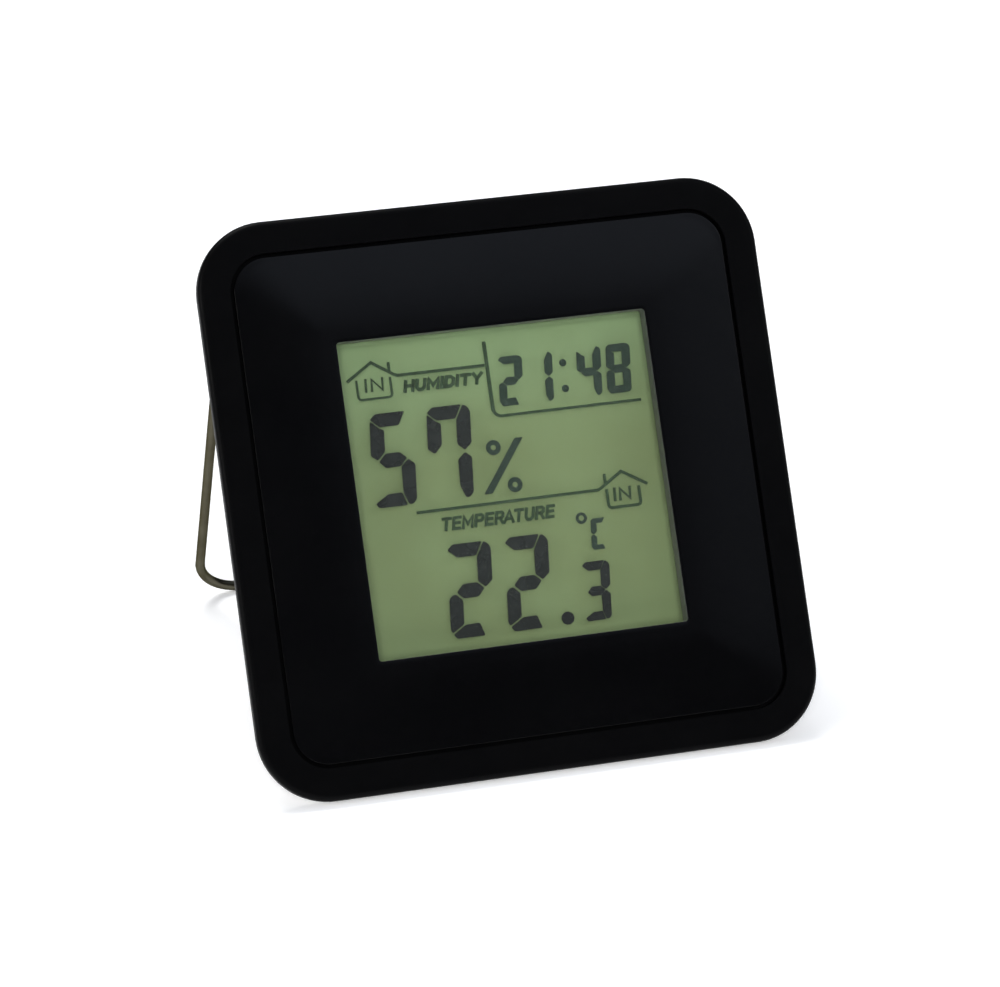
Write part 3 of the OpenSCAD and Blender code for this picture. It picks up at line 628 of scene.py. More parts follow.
class Finish(ABC):
    """A finish that can be made into a material.

    Attributes:
        name: Name of the material.
    """

    name: str

    @abstractmethod
    def make(self) -> bpy.types.Material:
        """Returns the finish as a material."""


@dataclass(frozen=True)
class MouldedPlastic(Finish):
    """Injection-moulded plastic with an eroded grain and slight mottling.

    Attributes:
        name: Name of the material.
        low: Darker tone.
        high: Lighter tone.
        roughness: Least and most roughness.
        specular: Strength of the gloss.
        grain: Size of the grain in mm.
        depth: Depth of the grain in mm.
        wave: Size of the slow waves in the skin in mm, 0 for none.
        swell: Depth of the waves in mm.
        mottle: Size of the clouds of tone in mm.
        patch: Size of the patches of gloss in mm.
        bump: Strength of the grain's bump.
    """

    name: str
    low: Colour
    high: Colour
    roughness: Span
    specular: float
    grain: float
    depth: float
    wave: float = 0.0
    swell: float = 0.0
    mottle: float = 9.0
    patch: float = 1.7
    bump: float = 0.35

    def make(self) -> bpy.types.Material:
        """Puts the plastic together.

        Returns:
            The material.
        """
        bench = Bench(self.name)
        bench.set(Specular_IOR_Level=self.specular)
        bench.blend(bench.noise(self.mottle, detail=3.0), self.low, self.high)
        bench.vary("Roughness", bench.noise(self.patch), self.roughness)
        layers = [(bench.noise(self.grain), self.bump, self.depth)]
        if self.wave:
            layers.insert(0, (bench.noise(self.wave, detail=0.0), 1.0, self.swell))
        bench.emboss(layers)
        return bench.material


@dataclass(frozen=True)
class DrawnSteel(Finish):
    """Steel with fine lines or a satin surface.

    Attributes:
        name: Name of the material.
        low: Darker tone.
        high: Lighter tone.
        roughness: Least and most roughness.
        edge: Tint of the gloss at grazing angles.
        stretch: How much closer the lines lie along each axis.
        cloud: Size of the clouds of tone in mm.
        line: Size of the lines in mm.
        bump: Strength of the lines' bump.
        depth: Depth of the lines in mm.
    """

    name: str
    low: Colour
    high: Colour
    roughness: Span
    edge: Colour = (1.0, 1.0, 1.0)
    stretch: Vector = (1.0, 1.0, 1.0)
    cloud: float = 4.0
    line: float = 0.5
    bump: float = 0.2
    depth: float = 0.01

    def make(self) -> bpy.types.Material:
        """Puts the steel together.

        Returns:
            The material.
        """
        bench = Bench(self.name)
        bench.set(Metallic=1.0, Specular_Tint=self.edge)
        bench.blend(bench.noise(self.cloud, detail=3.0), self.low, self.high)
        lines = bench.noise(self.line, detail=3.0, stretch=self.stretch)
        bench.vary("Roughness", lines, self.roughness)
        bench.emboss([(lines, self.bump, self.depth)])
        return bench.material


@dataclass(frozen=True)
class ClearSheet(Finish):
    """Clear plastic or glass, thin enough to let light straight through.

    Attributes:
        name: Name of the material.
        tint: Colour of the sheet.
        cover: Share of the light that the surface holds back.
        roughness: Roughness of the gloss.
        wave: Size of the slow waves in mm.
        bump: Strength of the waves' bump.
        depth: Depth of the waves in mm.
    """

    name: str
    tint: Colour
    cover: float
    roughness: float
    wave: float = 24.0
    bump: float = 0.3
    depth: float = 0.02

    def make(self) -> bpy.types.Material:
        """Puts the sheet together.

        Returns:
            The material.
        """
        bench = Bench(self.name)
        bench.set(Base_Color=self.tint, Roughness=self.roughness, Alpha=self.cover)
        bench.emboss([(bench.noise(self.wave, detail=0.0), self.bump, self.depth)])
        bench.material.blend_method = "BLEND"
        return bench.material


@dataclass(frozen=True)
class ReflectorFilm(Finish):
    """The display's reflector: a sanded film with fine sparkle and clouds, paler towards its top by painted light.

    Attributes:
        name: Name of the material.
        low: Tone over the lower half, below the painted light.
        high: Tone at the top, where painted light makes the film paler.
        rise: Heights over the table in mm between which painted light makes the tone rise.
        climb: How far the painted light has taken the tone at those heights, before clouds and sparkle.
        cloud: Size of the clouds in mm.
        cloud_share: How much the clouds add.
        speck: Size of the sparkle in mm.
        speck_share: How much the sparkle adds.
        roughness: Least and most roughness.
        specular: Strength of the gloss.
        bump: Strength of the sanding's bump.
        depth: Depth of the sanding in mm.
    """

    name: str
    low: Colour
    high: Colour
    rise: Span = (38.0, 57.0)
    climb: Span = (0.12, 0.42)
    cloud: float = 15.0
    cloud_share: float = 0.25
    speck: float = 0.22
    speck_share: float = 0.2
    roughness: Span = (0.55, 0.8)
    specular: float = 0.2
    bump: float = 0.2
    depth: float = 0.02

    def make(self) -> bpy.types.Material:
        """Puts the film together.

        Returns:
            The material.
        """
        bench = Bench(self.name)
        bench.set(Specular_IOR_Level=self.specular)
        clouds, specks = bench.noise(self.cloud), bench.noise(self.speck, detail=1.0)
        # Painted light: the tone runs from low to high with height over the table, so the display's top shows
        # paler, as if lit more from above.
        low, high = (height / MM_IN_METRE for height in self.rise)
        tone = bench.run(bench.axis("Z"), (low, high), self.climb, smooth=True)
        for layer, share in ((clouds, self.cloud_share), (specks, self.speck_share)):
            tone = bench.reckon(Operation.SCALED_SUM, layer, share, tone)
        bench.blend(tone, self.low, self.high)
        bench.vary("Roughness", specks, self.roughness)
        bench.emboss([(specks, self.bump, self.depth)])
        return bench.material


@dataclass(frozen=True)
class LayeredBoard(Finish):
    """Circuit board under green varnish, with tracks that show as a lighter mesh.

    Attributes:
        name: Name of the material.
        ground: Tone between the tracks.
        track: Tone over the tracks.
        fineness: How many times the mesh's pattern fits into a metre.
        width: Width of a track in the pattern.
        blur: Softness of a track's edges.
        specular: Strength of the gloss.
        patch: Size of the patches of gloss in mm.
        roughness: Least and most roughness.
        bump: Strength of the tracks' bump.
        depth: Height of the tracks in mm.
    """

    name: str
    ground: Colour
    track: Colour
    fineness: float = 220.0
    width: float = 0.08
    blur: float = 0.2
    specular: float = 0.5
    patch: float = 2.0
    roughness: Span = (0.3, 0.45)
    bump: float = 0.3
    depth: float = 0.03

    def make(self) -> bpy.types.Material:
        """Puts the board together.

        Returns:
            The material.
        """
        bench = Bench(self.name)
        bench.set(Specular_IOR_Level=self.specular)
        ground, track = (*self.ground, 1.0), (*self.track, 1.0)
        mesh = bench.node("TexBrick", Color1=ground, Color2=ground, Mortar=track, Scale=self.fineness,
                          Mortar_Size=self.width, Mortar_Smooth=self.blur)
        bench.link(bench.place, mesh.inputs["Vector"])
        bench.link(mesh.outputs["Color"], bench.shader.inputs["Base Color"])
        bench.vary("Roughness", bench.noise(self.patch), self.roughness)
        bench.emboss([(mesh.outputs["Fac"], self.bump, self.depth)])
        return bench.material


@dataclass(frozen=True)
class CellWrap(Finish):
    """Printed foil round a cell: two plain bands of colour along its length.

    Attributes:
        name: Name of the material.
        body: Tone of the long band.
        band: Tone of the band at the nub's end.
        split: Where the bands meet, along x in mm.
        blur: How far the bands run into each other on both sides, in mm.
        metal: Share of bare metal in the look.
        patch: Size of the patches of gloss in mm.
        roughness: Least and most roughness.
    """

    name: str
    body: Colour
    band: Colour
    split: float
    blur: float = 0.05
    metal: float = 0.7
    patch: float = 1.0
    roughness: Span = (0.25, 0.4)

    def make(self) -> bpy.types.Material:
        """Puts the foil together.

        Returns:
            The material.
        """
        bench = Bench(self.name)
        bench.set(Metallic=self.metal)
        start, end = ((self.split + side * self.blur) / MM_IN_METRE for side in (-1, 1))
        bench.blend(bench.run(bench.axis("X"), (start, end), (0.0, 1.0)), self.body, self.band)
        bench.vary("Roughness", bench.noise(self.patch), self.roughness)
        return bench.material


@dataclass(frozen=True)
class DisplayInk(Finish):
    """A switched-on area of the display: nearly black, with a trace of the ground through it.

    Attributes:
        name: Name of the material.
        low: Darker tone.
        high: Lighter tone.
        cover: Share of the light that the area holds back.
        specular: Strength of the gloss.
        roughness: Roughness of the gloss.
        cloud: Size of the clouds of tone in mm.
    """

    name: str
    low: Colour
    high: Colour
    cover: float
    specular: float = 0.1
    roughness: float = 0.6
    cloud: float = 3.0

    def make(self) -> bpy.types.Material:
        """Puts the ink together.

        Returns:
            The material.
        """
        bench = Bench(self.name)
        bench.set(Specular_IOR_Level=self.specular, Roughness=self.roughness, Alpha=self.cover)
        bench.blend(bench.noise(self.cloud), self.low, self.high)
        return bench.material


FINISHES: dict[str, Finish] = {finish.name: finish for finish in (
    MouldedPlastic(
        "frame_plastic", (0.0014, 0.0014, 0.0016), (0.0019, 0.0019, 0.0021),
        roughness=(0.38, 0.46), specular=0.05, grain=0.16, depth=0.01),
    MouldedPlastic(
        "cover_plastic", (0.0093, 0.0093, 0.0103), (0.0102, 0.0102, 0.0112),
        roughness=(0.5, 0.6), specular=0.4, grain=0.3, depth=0.03),
    MouldedPlastic(
        "key_plastic", (0.028, 0.028, 0.03), (0.036, 0.036, 0.039),
        roughness=(0.42, 0.52), specular=0.4, grain=0.2, depth=0.012),
    MouldedPlastic(
        "panel_plastic", (0.0012, 0.0012, 0.0014), (0.0017, 0.0017, 0.0019),
        roughness=(0.13, 0.18), specular=0.25, grain=0.12, depth=0.003, wave=26.0, swell=0.12),
    MouldedPlastic(
        "carrier_plastic", (0.7, 0.7, 0.66), (0.78, 0.78, 0.74),
        roughness=(0.5, 0.6), specular=0.4, grain=0.3, depth=0.01),
    MouldedPlastic(
        "switch_black", (0.012, 0.012, 0.012), (0.018, 0.018, 0.018),
        roughness=(0.4, 0.5), specular=0.4, grain=0.2, depth=0.01),
    MouldedPlastic(
        "plunger_red", (0.42, 0.035, 0.02), (0.5, 0.045, 0.03),
        roughness=(0.4, 0.5), specular=0.4, grain=0.2, depth=0.005),
    MouldedPlastic(
        "resin", (0.004, 0.004, 0.004), (0.007, 0.007, 0.007),
        roughness=(0.12, 0.22), specular=0.5, grain=1.5, depth=0.02),
    MouldedPlastic(
        "chip_body", (0.2, 0.13, 0.07), (0.28, 0.18, 0.1),
        roughness=(0.5, 0.6), specular=0.3, grain=0.2, depth=0.01),
    MouldedPlastic(
        "sensor_white", (0.72, 0.72, 0.75), (0.8, 0.8, 0.82),
        roughness=(0.45, 0.55), specular=0.4, grain=0.3, depth=0.01),
    MouldedPlastic(
        "bead_black", (0.012, 0.009, 0.007), (0.018, 0.013, 0.01),
        roughness=(0.2, 0.3), specular=0.5, grain=0.4, depth=0.01),
    MouldedPlastic(
        "tape", (0.008, 0.008, 0.008), (0.012, 0.012, 0.012),
        roughness=(0.7, 0.85), specular=0.2, grain=0.25, depth=0.03),
    MouldedPlastic(
        "strip_rubber", (0.42, 0.22, 0.27), (0.5, 0.27, 0.32),
        roughness=(0.6, 0.75), specular=0.2, grain=0.3, depth=0.02),
    ClearSheet("lens_clear", (0.12, 0.13, 0.13), cover=0.03, roughness=0.06),
    ClearSheet("display_glass", (0.16, 0.19, 0.12), cover=0.03, roughness=0.1),
    # The reflector's paler second tone is painted light at the display's top.
    ReflectorFilm("reflector_film", (0.186, 0.243, 0.107), (0.254, 0.37, 0.182)),
    LayeredBoard("board_laminate", (0.008, 0.09, 0.03), (0.02, 0.16, 0.06)),
    DrawnSteel("bright_steel", (0.52, 0.52, 0.54), (0.62, 0.62, 0.64), roughness=(0.22, 0.34)),
    DrawnSteel(
        "stand_wire", (0.078, 0.071, 0.049), (0.11, 0.103, 0.075),
        roughness=(0.3, 0.42), edge=(0.38, 0.38, 0.33), stretch=(1.0, 0.08, 0.08)),
    CellWrap("cell_wrap", (0.03, 0.045, 0.07), (0.55, 0.36, 0.12), split=13.0),
)}


@dataclass
class Case:
    """The CAD nodes, each given its finish and smooth shading.

    Attributes:
        crease: Angle in degrees above which edges stay sharp.
    """

    crease: float = 28.0

    def dress(self, nodes: dict[str, bpy.types.Object], record: dict) -> dict[str, bpy.types.Material]:
        """Gives every CAD node the finish of its slot.

        Args:
            nodes: The CAD nodes by name.
            record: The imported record.

        Returns:
            The materials by slot.
        """
        made: dict[str, bpy.types.Material] = {}
        for row in record["subparts"]:
            slot, node = row["material_slot"], nodes[row["node"]]
            if slot not in made:
                made[slot] = FINISHES[slot].make()
            node.data.materials.clear()
            node.data.materials.append(made[slot])
            shade(node, self.crease, weld=True)
            log.info("dressed %s in %s", row["node"], slot)
        return made


@dataclass
class FrontPanel:
    """The crowned panel in front of the ring, with its window.

    Attributes:
        half: Half the panel's width.
        corner: Radius of its corners.
        window: Half the window's width.
        window_corner: Radius of the window's corners.
        lip: Width of the strip beside the window that follows its corners.
        lip_corner: Corner radius at that strip's outer side.
        flat: Half the width of the flat middle.
        flat_corner: Corner radius of the flat middle.
        front: Depth of the middle.
        edge: Depth of the panel's edge.
        back: Depth of its back.
        wall_row: Depth of the row of points on the window's wall.
        edge_round: Rounding of the outer edge.
        window_round: Rounding of the window's edge.
        edge_start: Angle at which the outer rounding takes over from the margin.
        crown_power: How late the margin falls.
        corner_power: How square the crown stays round the corners.
        window_rows: Rows over the window's rounding.
        margin_rows: Rows over the margin.
        edge_rows: Rows over the outer rounding.
        crease: Angle in degrees above which edges stay sharp.
    """

    half: float = 37.1
    corner: float = 5.1
    window: float = 23.43
    window_corner: float = 0.5
    lip: float = 0.6
    lip_corner: float = 1.2
    flat: float = 25.2
    flat_corner: float = 2.5
    front: float = -0.9
    edge: float = 0.2
    back: float = 1.3
    wall_row: float = 0.4
    edge_round: float = 0.05
    window_round: float = 0.06
    edge_start: float = 0.2
    crown_power: float = 1.7
    corner_power: int = 4
    window_rows: int = 5
    margin_rows: int = 30
    edge_rows: int = 6
    crease: float = 50.0

    def section(self) -> np.ndarray:
        """The panel's section before the crown.

        In order its rows are the window's wall, the window's rounding, the lip, the flat, the
        margin, the outer rounding and the outer wall. A rounding of radius r runs by r (1 - cos a)
        and r (1 - sin a) on the window's side, and by r sin b and r (1 - cos b) on the outer side.

        Returns:
            Rows of half width, corner radius and depth.
        """
        wall = [(self.window, self.window_corner, depth) for depth in (self.back, self.wall_row)]
        a = np.linspace(0.0, np.pi / 2, self.window_rows)
        out, down = self.window_round * (1 - np.cos(a)), self.window_round * (1 - np.sin(a))
        inner = np.stack([self.window + out, self.window_corner + out, self.front + down], axis=-1)
        lip = (self.window + self.lip, self.lip_corner, self.front)
        flat = np.array([self.flat, self.flat_corner, self.front])
        rim = np.array([self.half - self.edge_round, self.corner - self.edge_round, self.front])
        s = np.linspace(0.0, 1.0, self.margin_rows + 1)[1:, None]
        margin = flat + (rim - flat) * s
        b = np.linspace(self.edge_start, np.pi / 2, self.edge_rows + 1)[1:]
        out, down = self.edge_round * np.sin(b), self.edge_round * (1 - np.cos(b))
        outer = rim + np.stack([out, out, down], axis=-1)
        end = (self.half, self.corner, self.back)
        return np.concatenate([wall, inner, [lip, flat], margin, outer, [end]])

    def shell(self) -> Shell:
        """Carries the section round the face and adds the crown; the back closes the loop.

        Over the margin the crown falls by (edge - front) t ** crown_power. With n the
        corner_power, t is (a ** n + b ** n) ** (1 / n), and a and b are the shares of the margin
        passed sideways and upwards, so that the fall runs round the corners.

        Returns:
            The closed shell.
        """
        rings = square_ring(self.section())
        margin = self.half - self.edge_round - self.flat
        share = np.clip((np.abs(rings[1:-1, :, ::2]) - self.flat) / margin, 0.0, 1.0)
        t = np.minimum(np.sum(share ** self.corner_power, axis=-1) ** (1 / self.corner_power), 1.0)
        rings[1:-1, :, 1] += (self.edge - self.front) * t ** self.crown_power
        return carried(rings, wrap=True)

    def build(self, face: FaceFrame, material: bpy.types.Material) -> bpy.types.Object:
        """Makes the panel in place of its plain CAD solid.

        Args:
            face: The face's frame.
            material: The panel's finish.

        Returns:
            The panel.
        """
        panel = self.shell().make("front_panel_skin", face, material, self.crease)
        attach(panel, Body.CASE.value)
        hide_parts("front_panel")
        return panel


@dataclass
class WindowEdge:
    """A thin sheet over the wall of the panel's window, whose pale tone is painted light: the light that the wall
    takes from the display and the lamps.

    Attributes:
        half: Half the window's width.
        wall: Thickness of the paler layer.
        corner: Radius of the window's corners.
        front: Depth of its front.
        back: Depth of its back.
        crease: Angle in degrees above which edges stay sharp.
        finish: Its finish, whose pale tones are painted light.
    """

    half: float = 23.4
    wall: float = 0.03
    corner: float = 0.4
    front: float = -0.84
    back: float = 1.58
    crease: float = 30.0
    # Painted light: the pale grey stands in for light from the display and the lamps on the window's wall; only
    # the gloss reflects for real.
    finish: MouldedPlastic = MouldedPlastic(
        "pale_edge_painted_light", (0.045, 0.048, 0.046), (0.065, 0.069, 0.066),
        roughness=(0.3, 0.4), specular=0.5, grain=0.1, depth=0.004)

    def build(self, face: FaceFrame) -> bpy.types.Object:
        """Carries a slim rectangle with one blunt corner round the window.

        Args:
            face: The face's frame.

        Returns:
            The edge.
        """
        blunt = self.wall / 2
        section = (
            (0.0, self.back),
            (0.0, self.front + blunt),
            (blunt, self.front),
            (self.wall, self.front),
            (self.wall, self.back),
        )
        rings = square_ring([(self.half + out, self.corner + out, depth) for out, depth in section])
        piece = carried(rings, wrap=True).make("window_edge", face, self.finish.make(), self.crease)
        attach(piece, Body.CASE.value)
        return piece


class Segment(Enum):
    """Outlines of a figure's seven strokes, x right and y down, in a cell 6.56 wide and 13.75 high."""

    TOP = ((0.10, 0.72), (0.85, 0.0), (5.20, 0.0), (4.30, 1.90), (1.50, 1.90))
    UPPER_RIGHT = (
        (5.55, 0.05), (6.20, 0.45), (6.56, 1.10), (6.56, 5.75), (5.55, 6.65), (4.50, 5.75), (4.50, 2.20))
    LOWER_RIGHT = (
        (5.55, 7.10), (6.50, 7.90), (6.50, 13.0), (5.95, 13.65), (5.40, 13.65), (4.62, 11.90), (4.50, 8.05))
    BOTTOM = ((0.40, 13.15), (2.25, 11.95), (4.32, 11.90), (5.05, 13.75), (0.90, 13.75))
    LOWER_LEFT = (
        (0.95, 7.35), (1.95, 8.30), (1.95, 11.75), (0.25, 12.85), (0.0, 12.4), (0.0, 8.0), (0.35, 7.50))
    UPPER_LEFT = ((0.08, 1.05), (1.50, 2.25), (2.05, 2.45), (2.05, 5.60), (0.98, 6.75), (0.0, 6.05))
    MIDDLE = ((1.20, 7.05), (2.15, 5.95), (4.25, 5.95), (5.28, 6.85), (4.38, 7.95), (2.18, 8.0))


A, B, C, D, E, F, G = (
    Segment.TOP, Segment.UPPER_RIGHT, Segment.LOWER_RIGHT, Segment.BOTTOM, Segment.LOWER_LEFT,
    Segment.UPPER_LEFT, Segment.MIDDLE,
)
FIGURES: dict[str, tuple[Segment, ...]] = {
    "1": (B, C),
    "2": (A, B, G, E, D),
    "3": (A, B, G, C, D),
    "4": (F, G, B, C),
    "5": (A, F, G, C, D),
    "7": (F, A, B, C),
    "8": (A, B, C, D, E, F, G),
    "C": (A, F, E, D),
}
STEM_AND_BOWL: tuple[Point, ...] = (
    (0, 0), (0, 1), (0.45, 1), (0.6, 0.86), (0.6, 0.6), (0.45, 0.46), (0, 0.46))
LETTERS: dict[str, tuple[tuple[Point, ...], ...]] = {
    "A": (((0, 0), (0.4, 1), (0.8, 0)), ((0.15, 0.3), (0.65, 0.3))),
    "D": (((0, 0), (0, 1), (0.38, 1), (0.62, 0.76), (0.62, 0.24), (0.38, 0), (-0.08, 0)),),
    "E": (((0.56, 1), (0, 1), (0, 0), (0.56, 0)), ((0, 0.52), (0.5, 0.52))),
    "H": (((0, 0), (0, 1)), ((0.64, 0), (0.64, 1)), ((0, 0.52), (0.64, 0.52))),
    "I": (((0, 0), (0, 1)),),
    "M": (((0, 0), (0, 1), (0.4, 0.28), (0.8, 1), (0.8, 0)),),
    "N": (((0, 0), (0, 1), (0.62, 0), (0.62, 1)),),
    "P": (STEM_AND_BOWL,),
    "R": (STEM_AND_BOWL, ((0.34, 0.46), (0.62, 0))),
    "T": (((0, 1), (0.66, 1)), ((0.33, 1), (0.33, 0))),
    "U": (((0, 1), (0, 0.24), (0.18, 0), (0.46, 0), (0.64, 0.24), (0.64, 1)),),
    "Y": (((0, 1), (0.33, 0.45), (0.66, 1)), ((0.33, 0.45), (0.33, 0))),
}


@dataclass(frozen=True)
class Figure:
    """A figure of the display.

    Attributes:
        sign: The figure.
        centre: Its middle on the face.
        height: Its height.
        widen: Further sideways stretch.
        bold: How far the strokes' edges are moved outwards.
    """

    sign: str
    centre: Point
    height: float = 13.75
    widen: float = 1.0
    bold: float = 0.05


@dataclass(frozen=True)
class Dot:
    """A round dot of the display, or a ring.

    Attributes:
        centre: Its middle on the face.
        radius: Its radius, of a ring to the middle of its line.
        half: Half the width of a ring's line, 0 for a full dot.
    """

    centre: Point
    radius: float
    half: float = 0.0


@dataclass(frozen=True)
class Word:
    """A word of the display.

    Attributes:
        text: The letters.
        across: Left and right end.
        up: Foot and head.
        half: Half the width of a stroke.
        slope: Sideways shift for each unit of height.
    """

    text: str
    across: Span
    up: Span
    half: float
    slope: float = 0.2


@dataclass(frozen=True)
class House:
    """A house outline of the display whose roof runs on as a rule, with a short word inside.

    Attributes:
        roof: Points of the roof and the rule.
        chimney: Top and bottom of the chimney.
        across: Left and right wall.
        up: Bottom and top of the walls.
        sign: Left and right end of the word.
        line: Half the width of the walls' lines.
    """

    roof: tuple[Point, ...]
    chimney: tuple[Point, Point]
    across: Span
    up: Span
    sign: Span
    line: float


@dataclass(frozen=True)
class ClockRule:
    """The rule that runs down beside the clock, round a bend and along under it.

    Attributes:
        top: Its upper end.
        bend: Centre of the bend.
        radius: Radius of the bend.
        end: Its right end.
        halves: Half its width before and after the bend.
        count: Number of points round the bend.
    """

    top: Point = (-0.29, 21.74)
    bend: Point = (0.96, 11.72)
    radius: float = 1.25
    end: Point = (22.43, 10.47)
    halves: Span = (0.28, 0.21)
    count: int = 9

    def shell(self, front: float, back: float) -> Shell:
        """Carries the rule along its path, the bend as centre + radius (cos t, sin t).

        Args:
            front: Depth of the front.
            back: Depth of the back.

        Returns:
            The closed shell.
        """
        t = np.linspace(np.pi, 1.5 * np.pi, self.count)
        bend = np.asarray(self.bend) + self.radius * np.stack([np.cos(t), np.sin(t)], axis=-1)
        first, last = self.halves
        halves = np.concatenate([[first], np.linspace(first, last, self.count), [last]])
        return ribbon(np.concatenate([[self.top], bend, [self.end]]), halves, front, back)


@dataclass
class Display:
    """What the display shows: figures, rules, pictograms and plain words.

    Attributes:
        front: Depth of the areas' front, between the two glass plates.
        back: Depth of the areas' back.
        cell: Width and height of a figure's cell.
        lean: Sideways shift of a figure for each unit of height.
        ease: Rounding of the strokes' corners in a large figure.
        gap: Space between letters, in the units of LETTERS.
        close_gap: The same beside a slanting A.
        rule: Half the width of a roof and its rule.
        wall_round: Rounding of a house's lower corners.
        sign_up: Foot and head of a house's word, from the top of its walls.
        sign_slope: Slope of a house's word.
        sign_thinner: How much thinner its strokes are than the walls' lines, on each side.
        numbers: The large figures.
        point: Their decimal point.
        small: The unit's letter and the clock's figures.
        colon: The clock's colon.
        rings: The two rings of the per cent sign and the degree sign.
        slash: The per cent sign's stroke.
        slash_ease: Rounding of its corners.
        clock_rule: The rule beside and under the clock.
        houses: The two houses.
        words: The names of what is measured.
        border: Lower and upper edge of the ground's border over the contact ledges.
        step: Lower and upper edge of the border's step down to the reflector.
        seam: Space between the border and its step.
        ground: Depth of the reflector's front.
        reach: Half the border's length.
        ink: Finish of the large figures.
        pale_ink: Finish of the small signs.
        thin_ink: Finish of rules, houses and words.
    """

    front: float = 4.16
    back: float = 4.21
    cell: Point = (6.56, 13.75)
    lean: float = 0.085
    ease: float = 0.24
    gap: float = 0.34
    close_gap: float = 0.16
    rule: float = 0.22
    wall_round: float = 0.45
    sign_up: Span = (-1.93, 0.1)
    sign_slope: float = 0.06
    sign_thinner: float = 0.01
    numbers: tuple[Figure, ...] = (
        Figure("5", (-16.25, 5.95)),
        Figure("7", (-7.63, 5.95)),
        Figure("2", (-7.35, -14.5)),
        Figure("2", (1.39, -14.5)),
        Figure("3", (11.59, -17.01), height=8.6, bold=0.07),
    )
    point: Dot = Dot((6.64, -20.5), 0.97)
    small: tuple[Figure, ...] = (
        Figure("C", (13.23, -8.65), height=4.53, widen=1.15, bold=0.06),
        Figure("2", (3.01, 15.5), height=7.2, widen=1.03, bold=0.08),
        Figure("1", (7.66, 15.5), height=7.2, widen=1.03, bold=0.08),
        Figure("4", (15.11, 15.5), height=7.2, widen=1.05, bold=0.08),
        Figure("8", (19.66, 15.5), height=7.2, widen=1.05, bold=0.08),
    )
    colon: tuple[Dot, ...] = (Dot((11.26, 17.26), 0.55), Dot((11.12, 13.41), 0.55))
    rings: tuple[Dot, ...] = (
        Dot((-1.04, 5.93), 0.76, half=0.36),
        Dot((1.47, 0.09), 0.76, half=0.36),
        Dot((10.77, -6.06), 0.63, half=0.22),
    )
    slash: tuple[Point, ...] = ((3.6, 6.98), (2.35, 6.98), (-3.35, -0.83), (-2.1, -0.83))
    slash_ease: float = 0.15
    clock_rule: ClockRule = ClockRule()
    houses: tuple[House, ...] = (
        House(
            roof=((-21.57, 18.02), (-17.66, 20.53), (-14.5, 18.45), (-13.9, 18.22), (-0.63, 18.22)),
            chimney=((-15.06, 20.3), (-15.06, 18.9)),
            across=(-20.17, -15.09), up=(15.17, 18.1), sign=(-19.05, -16.1), line=0.17),
        House(
            roof=((-13.89, -2.29), (13.9, -2.22), (14.4, -2.0), (17.81, 0.17), (21.59, -2.15)),
            chimney=((15.17, 0.05), (15.17, -1.4)),
            across=(15.22, 20.2), up=(-5.08, -2.25), sign=(16.1, 19.0), line=0.22),
    )
    words: tuple[Word, ...] = (
        Word("HUMIDITY", across=(-13.35, -0.95), up=(15.5, 17.38), half=0.255),
        Word("TEMPERATURE", across=(-10.6, 7.15), up=(-5.5, -3.47), half=0.225),
    )
    border: Span = (23.1, 24.5)
    step: Span = (23.3, 23.78)
    seam: float = 0.01
    ground: float = 5.34
    reach: float = 25.4
    ink: DisplayInk = DisplayInk(
        "display_ink", (0.0175, 0.02, 0.02), (0.0225, 0.0255, 0.0255), cover=0.92)
    pale_ink: DisplayInk = DisplayInk(
        "display_ink_pale", (0.031, 0.052, 0.038), (0.038, 0.06, 0.045), cover=0.82)
    thin_ink: DisplayInk = DisplayInk(
        "display_ink_thin", (0.041, 0.075, 0.038), (0.049, 0.083, 0.046), cover=0.76)

    def figure(self, mark: Figure) -> list[Shell]:
        """Carries back a figure's strokes.

        A stroke's point goes to centre + scale (widen x + lean up, up), both from the cell's
        middle. The outline is then grown and its corners are eased.

        Args:
            mark: The figure.

        Returns:
            One shell for each stroke.
        """
        width, height = self.cell
        scale = mark.height / height
        shells = []
        for segment in FIGURES[mark.sign]:
            x, down = np.array(segment.value).T
            up = height / 2 - down
            flat = np.stack([(x - width / 2) * mark.widen + self.lean * up, up], axis=-1)
            outline = grown(flat * scale + np.asarray(mark.centre), mark.bold)
            shells.append(prism(eased(outline, self.ease * scale), self.front, self.back))
        return shells

    def dot(self, mark: Dot) -> Shell:
        """Carries a dot's circle back, or a line round it for a ring.

        Args:
            mark: The dot.

        Returns:
            The closed shell.
        """
        outline = circle(mark.centre, mark.radius)
        if mark.half:
            return ribbon(outline, mark.half, self.front, self.back, closed=True)
        return prism(outline, self.front, self.back)

    def word(self, mark: Word) -> list[Shell]:
        """Carries a line along a word's strokes.

        A letter's point (x, up) goes to (start + wide x + slope tall up, low + half + tall up),
        where wide fits the word between its two ends. A stroke is longer by half at each end.

        Args:
            mark: The word.

        Returns:
            One shell for each stroke.
        """
        (left, right), (low, high) = mark.across, mark.up
        half, slope = mark.half, mark.slope
        widths = [max(x for stroke in LETTERS[sign] for x, _ in stroke) for sign in mark.text]
        pairs = zip(mark.text, mark.text[1:])
        gaps = [self.close_gap if "A" in pair else self.gap for pair in pairs] + [0.0]
        tall = high - low - 2 * half
        wide = (right - left - 2 * half - slope * (high - low)) / (sum(widths) + sum(gaps))
        shells, start = [], left + half
        for sign, width, gap in zip(mark.text, widths, gaps):
            for stroke in LETTERS[sign]:
                x, up = np.array(stroke, dtype=float).T
                path = np.stack([start + x * wide + slope * up * tall, low + half + up * tall], axis=-1)
                path[[0, -1]] += half * unit(path[[0, -1]] - path[[1, -2]])
                shells.append(ribbon(path, half, self.front, self.back))
            start += (width + gap) * wide
        return shells

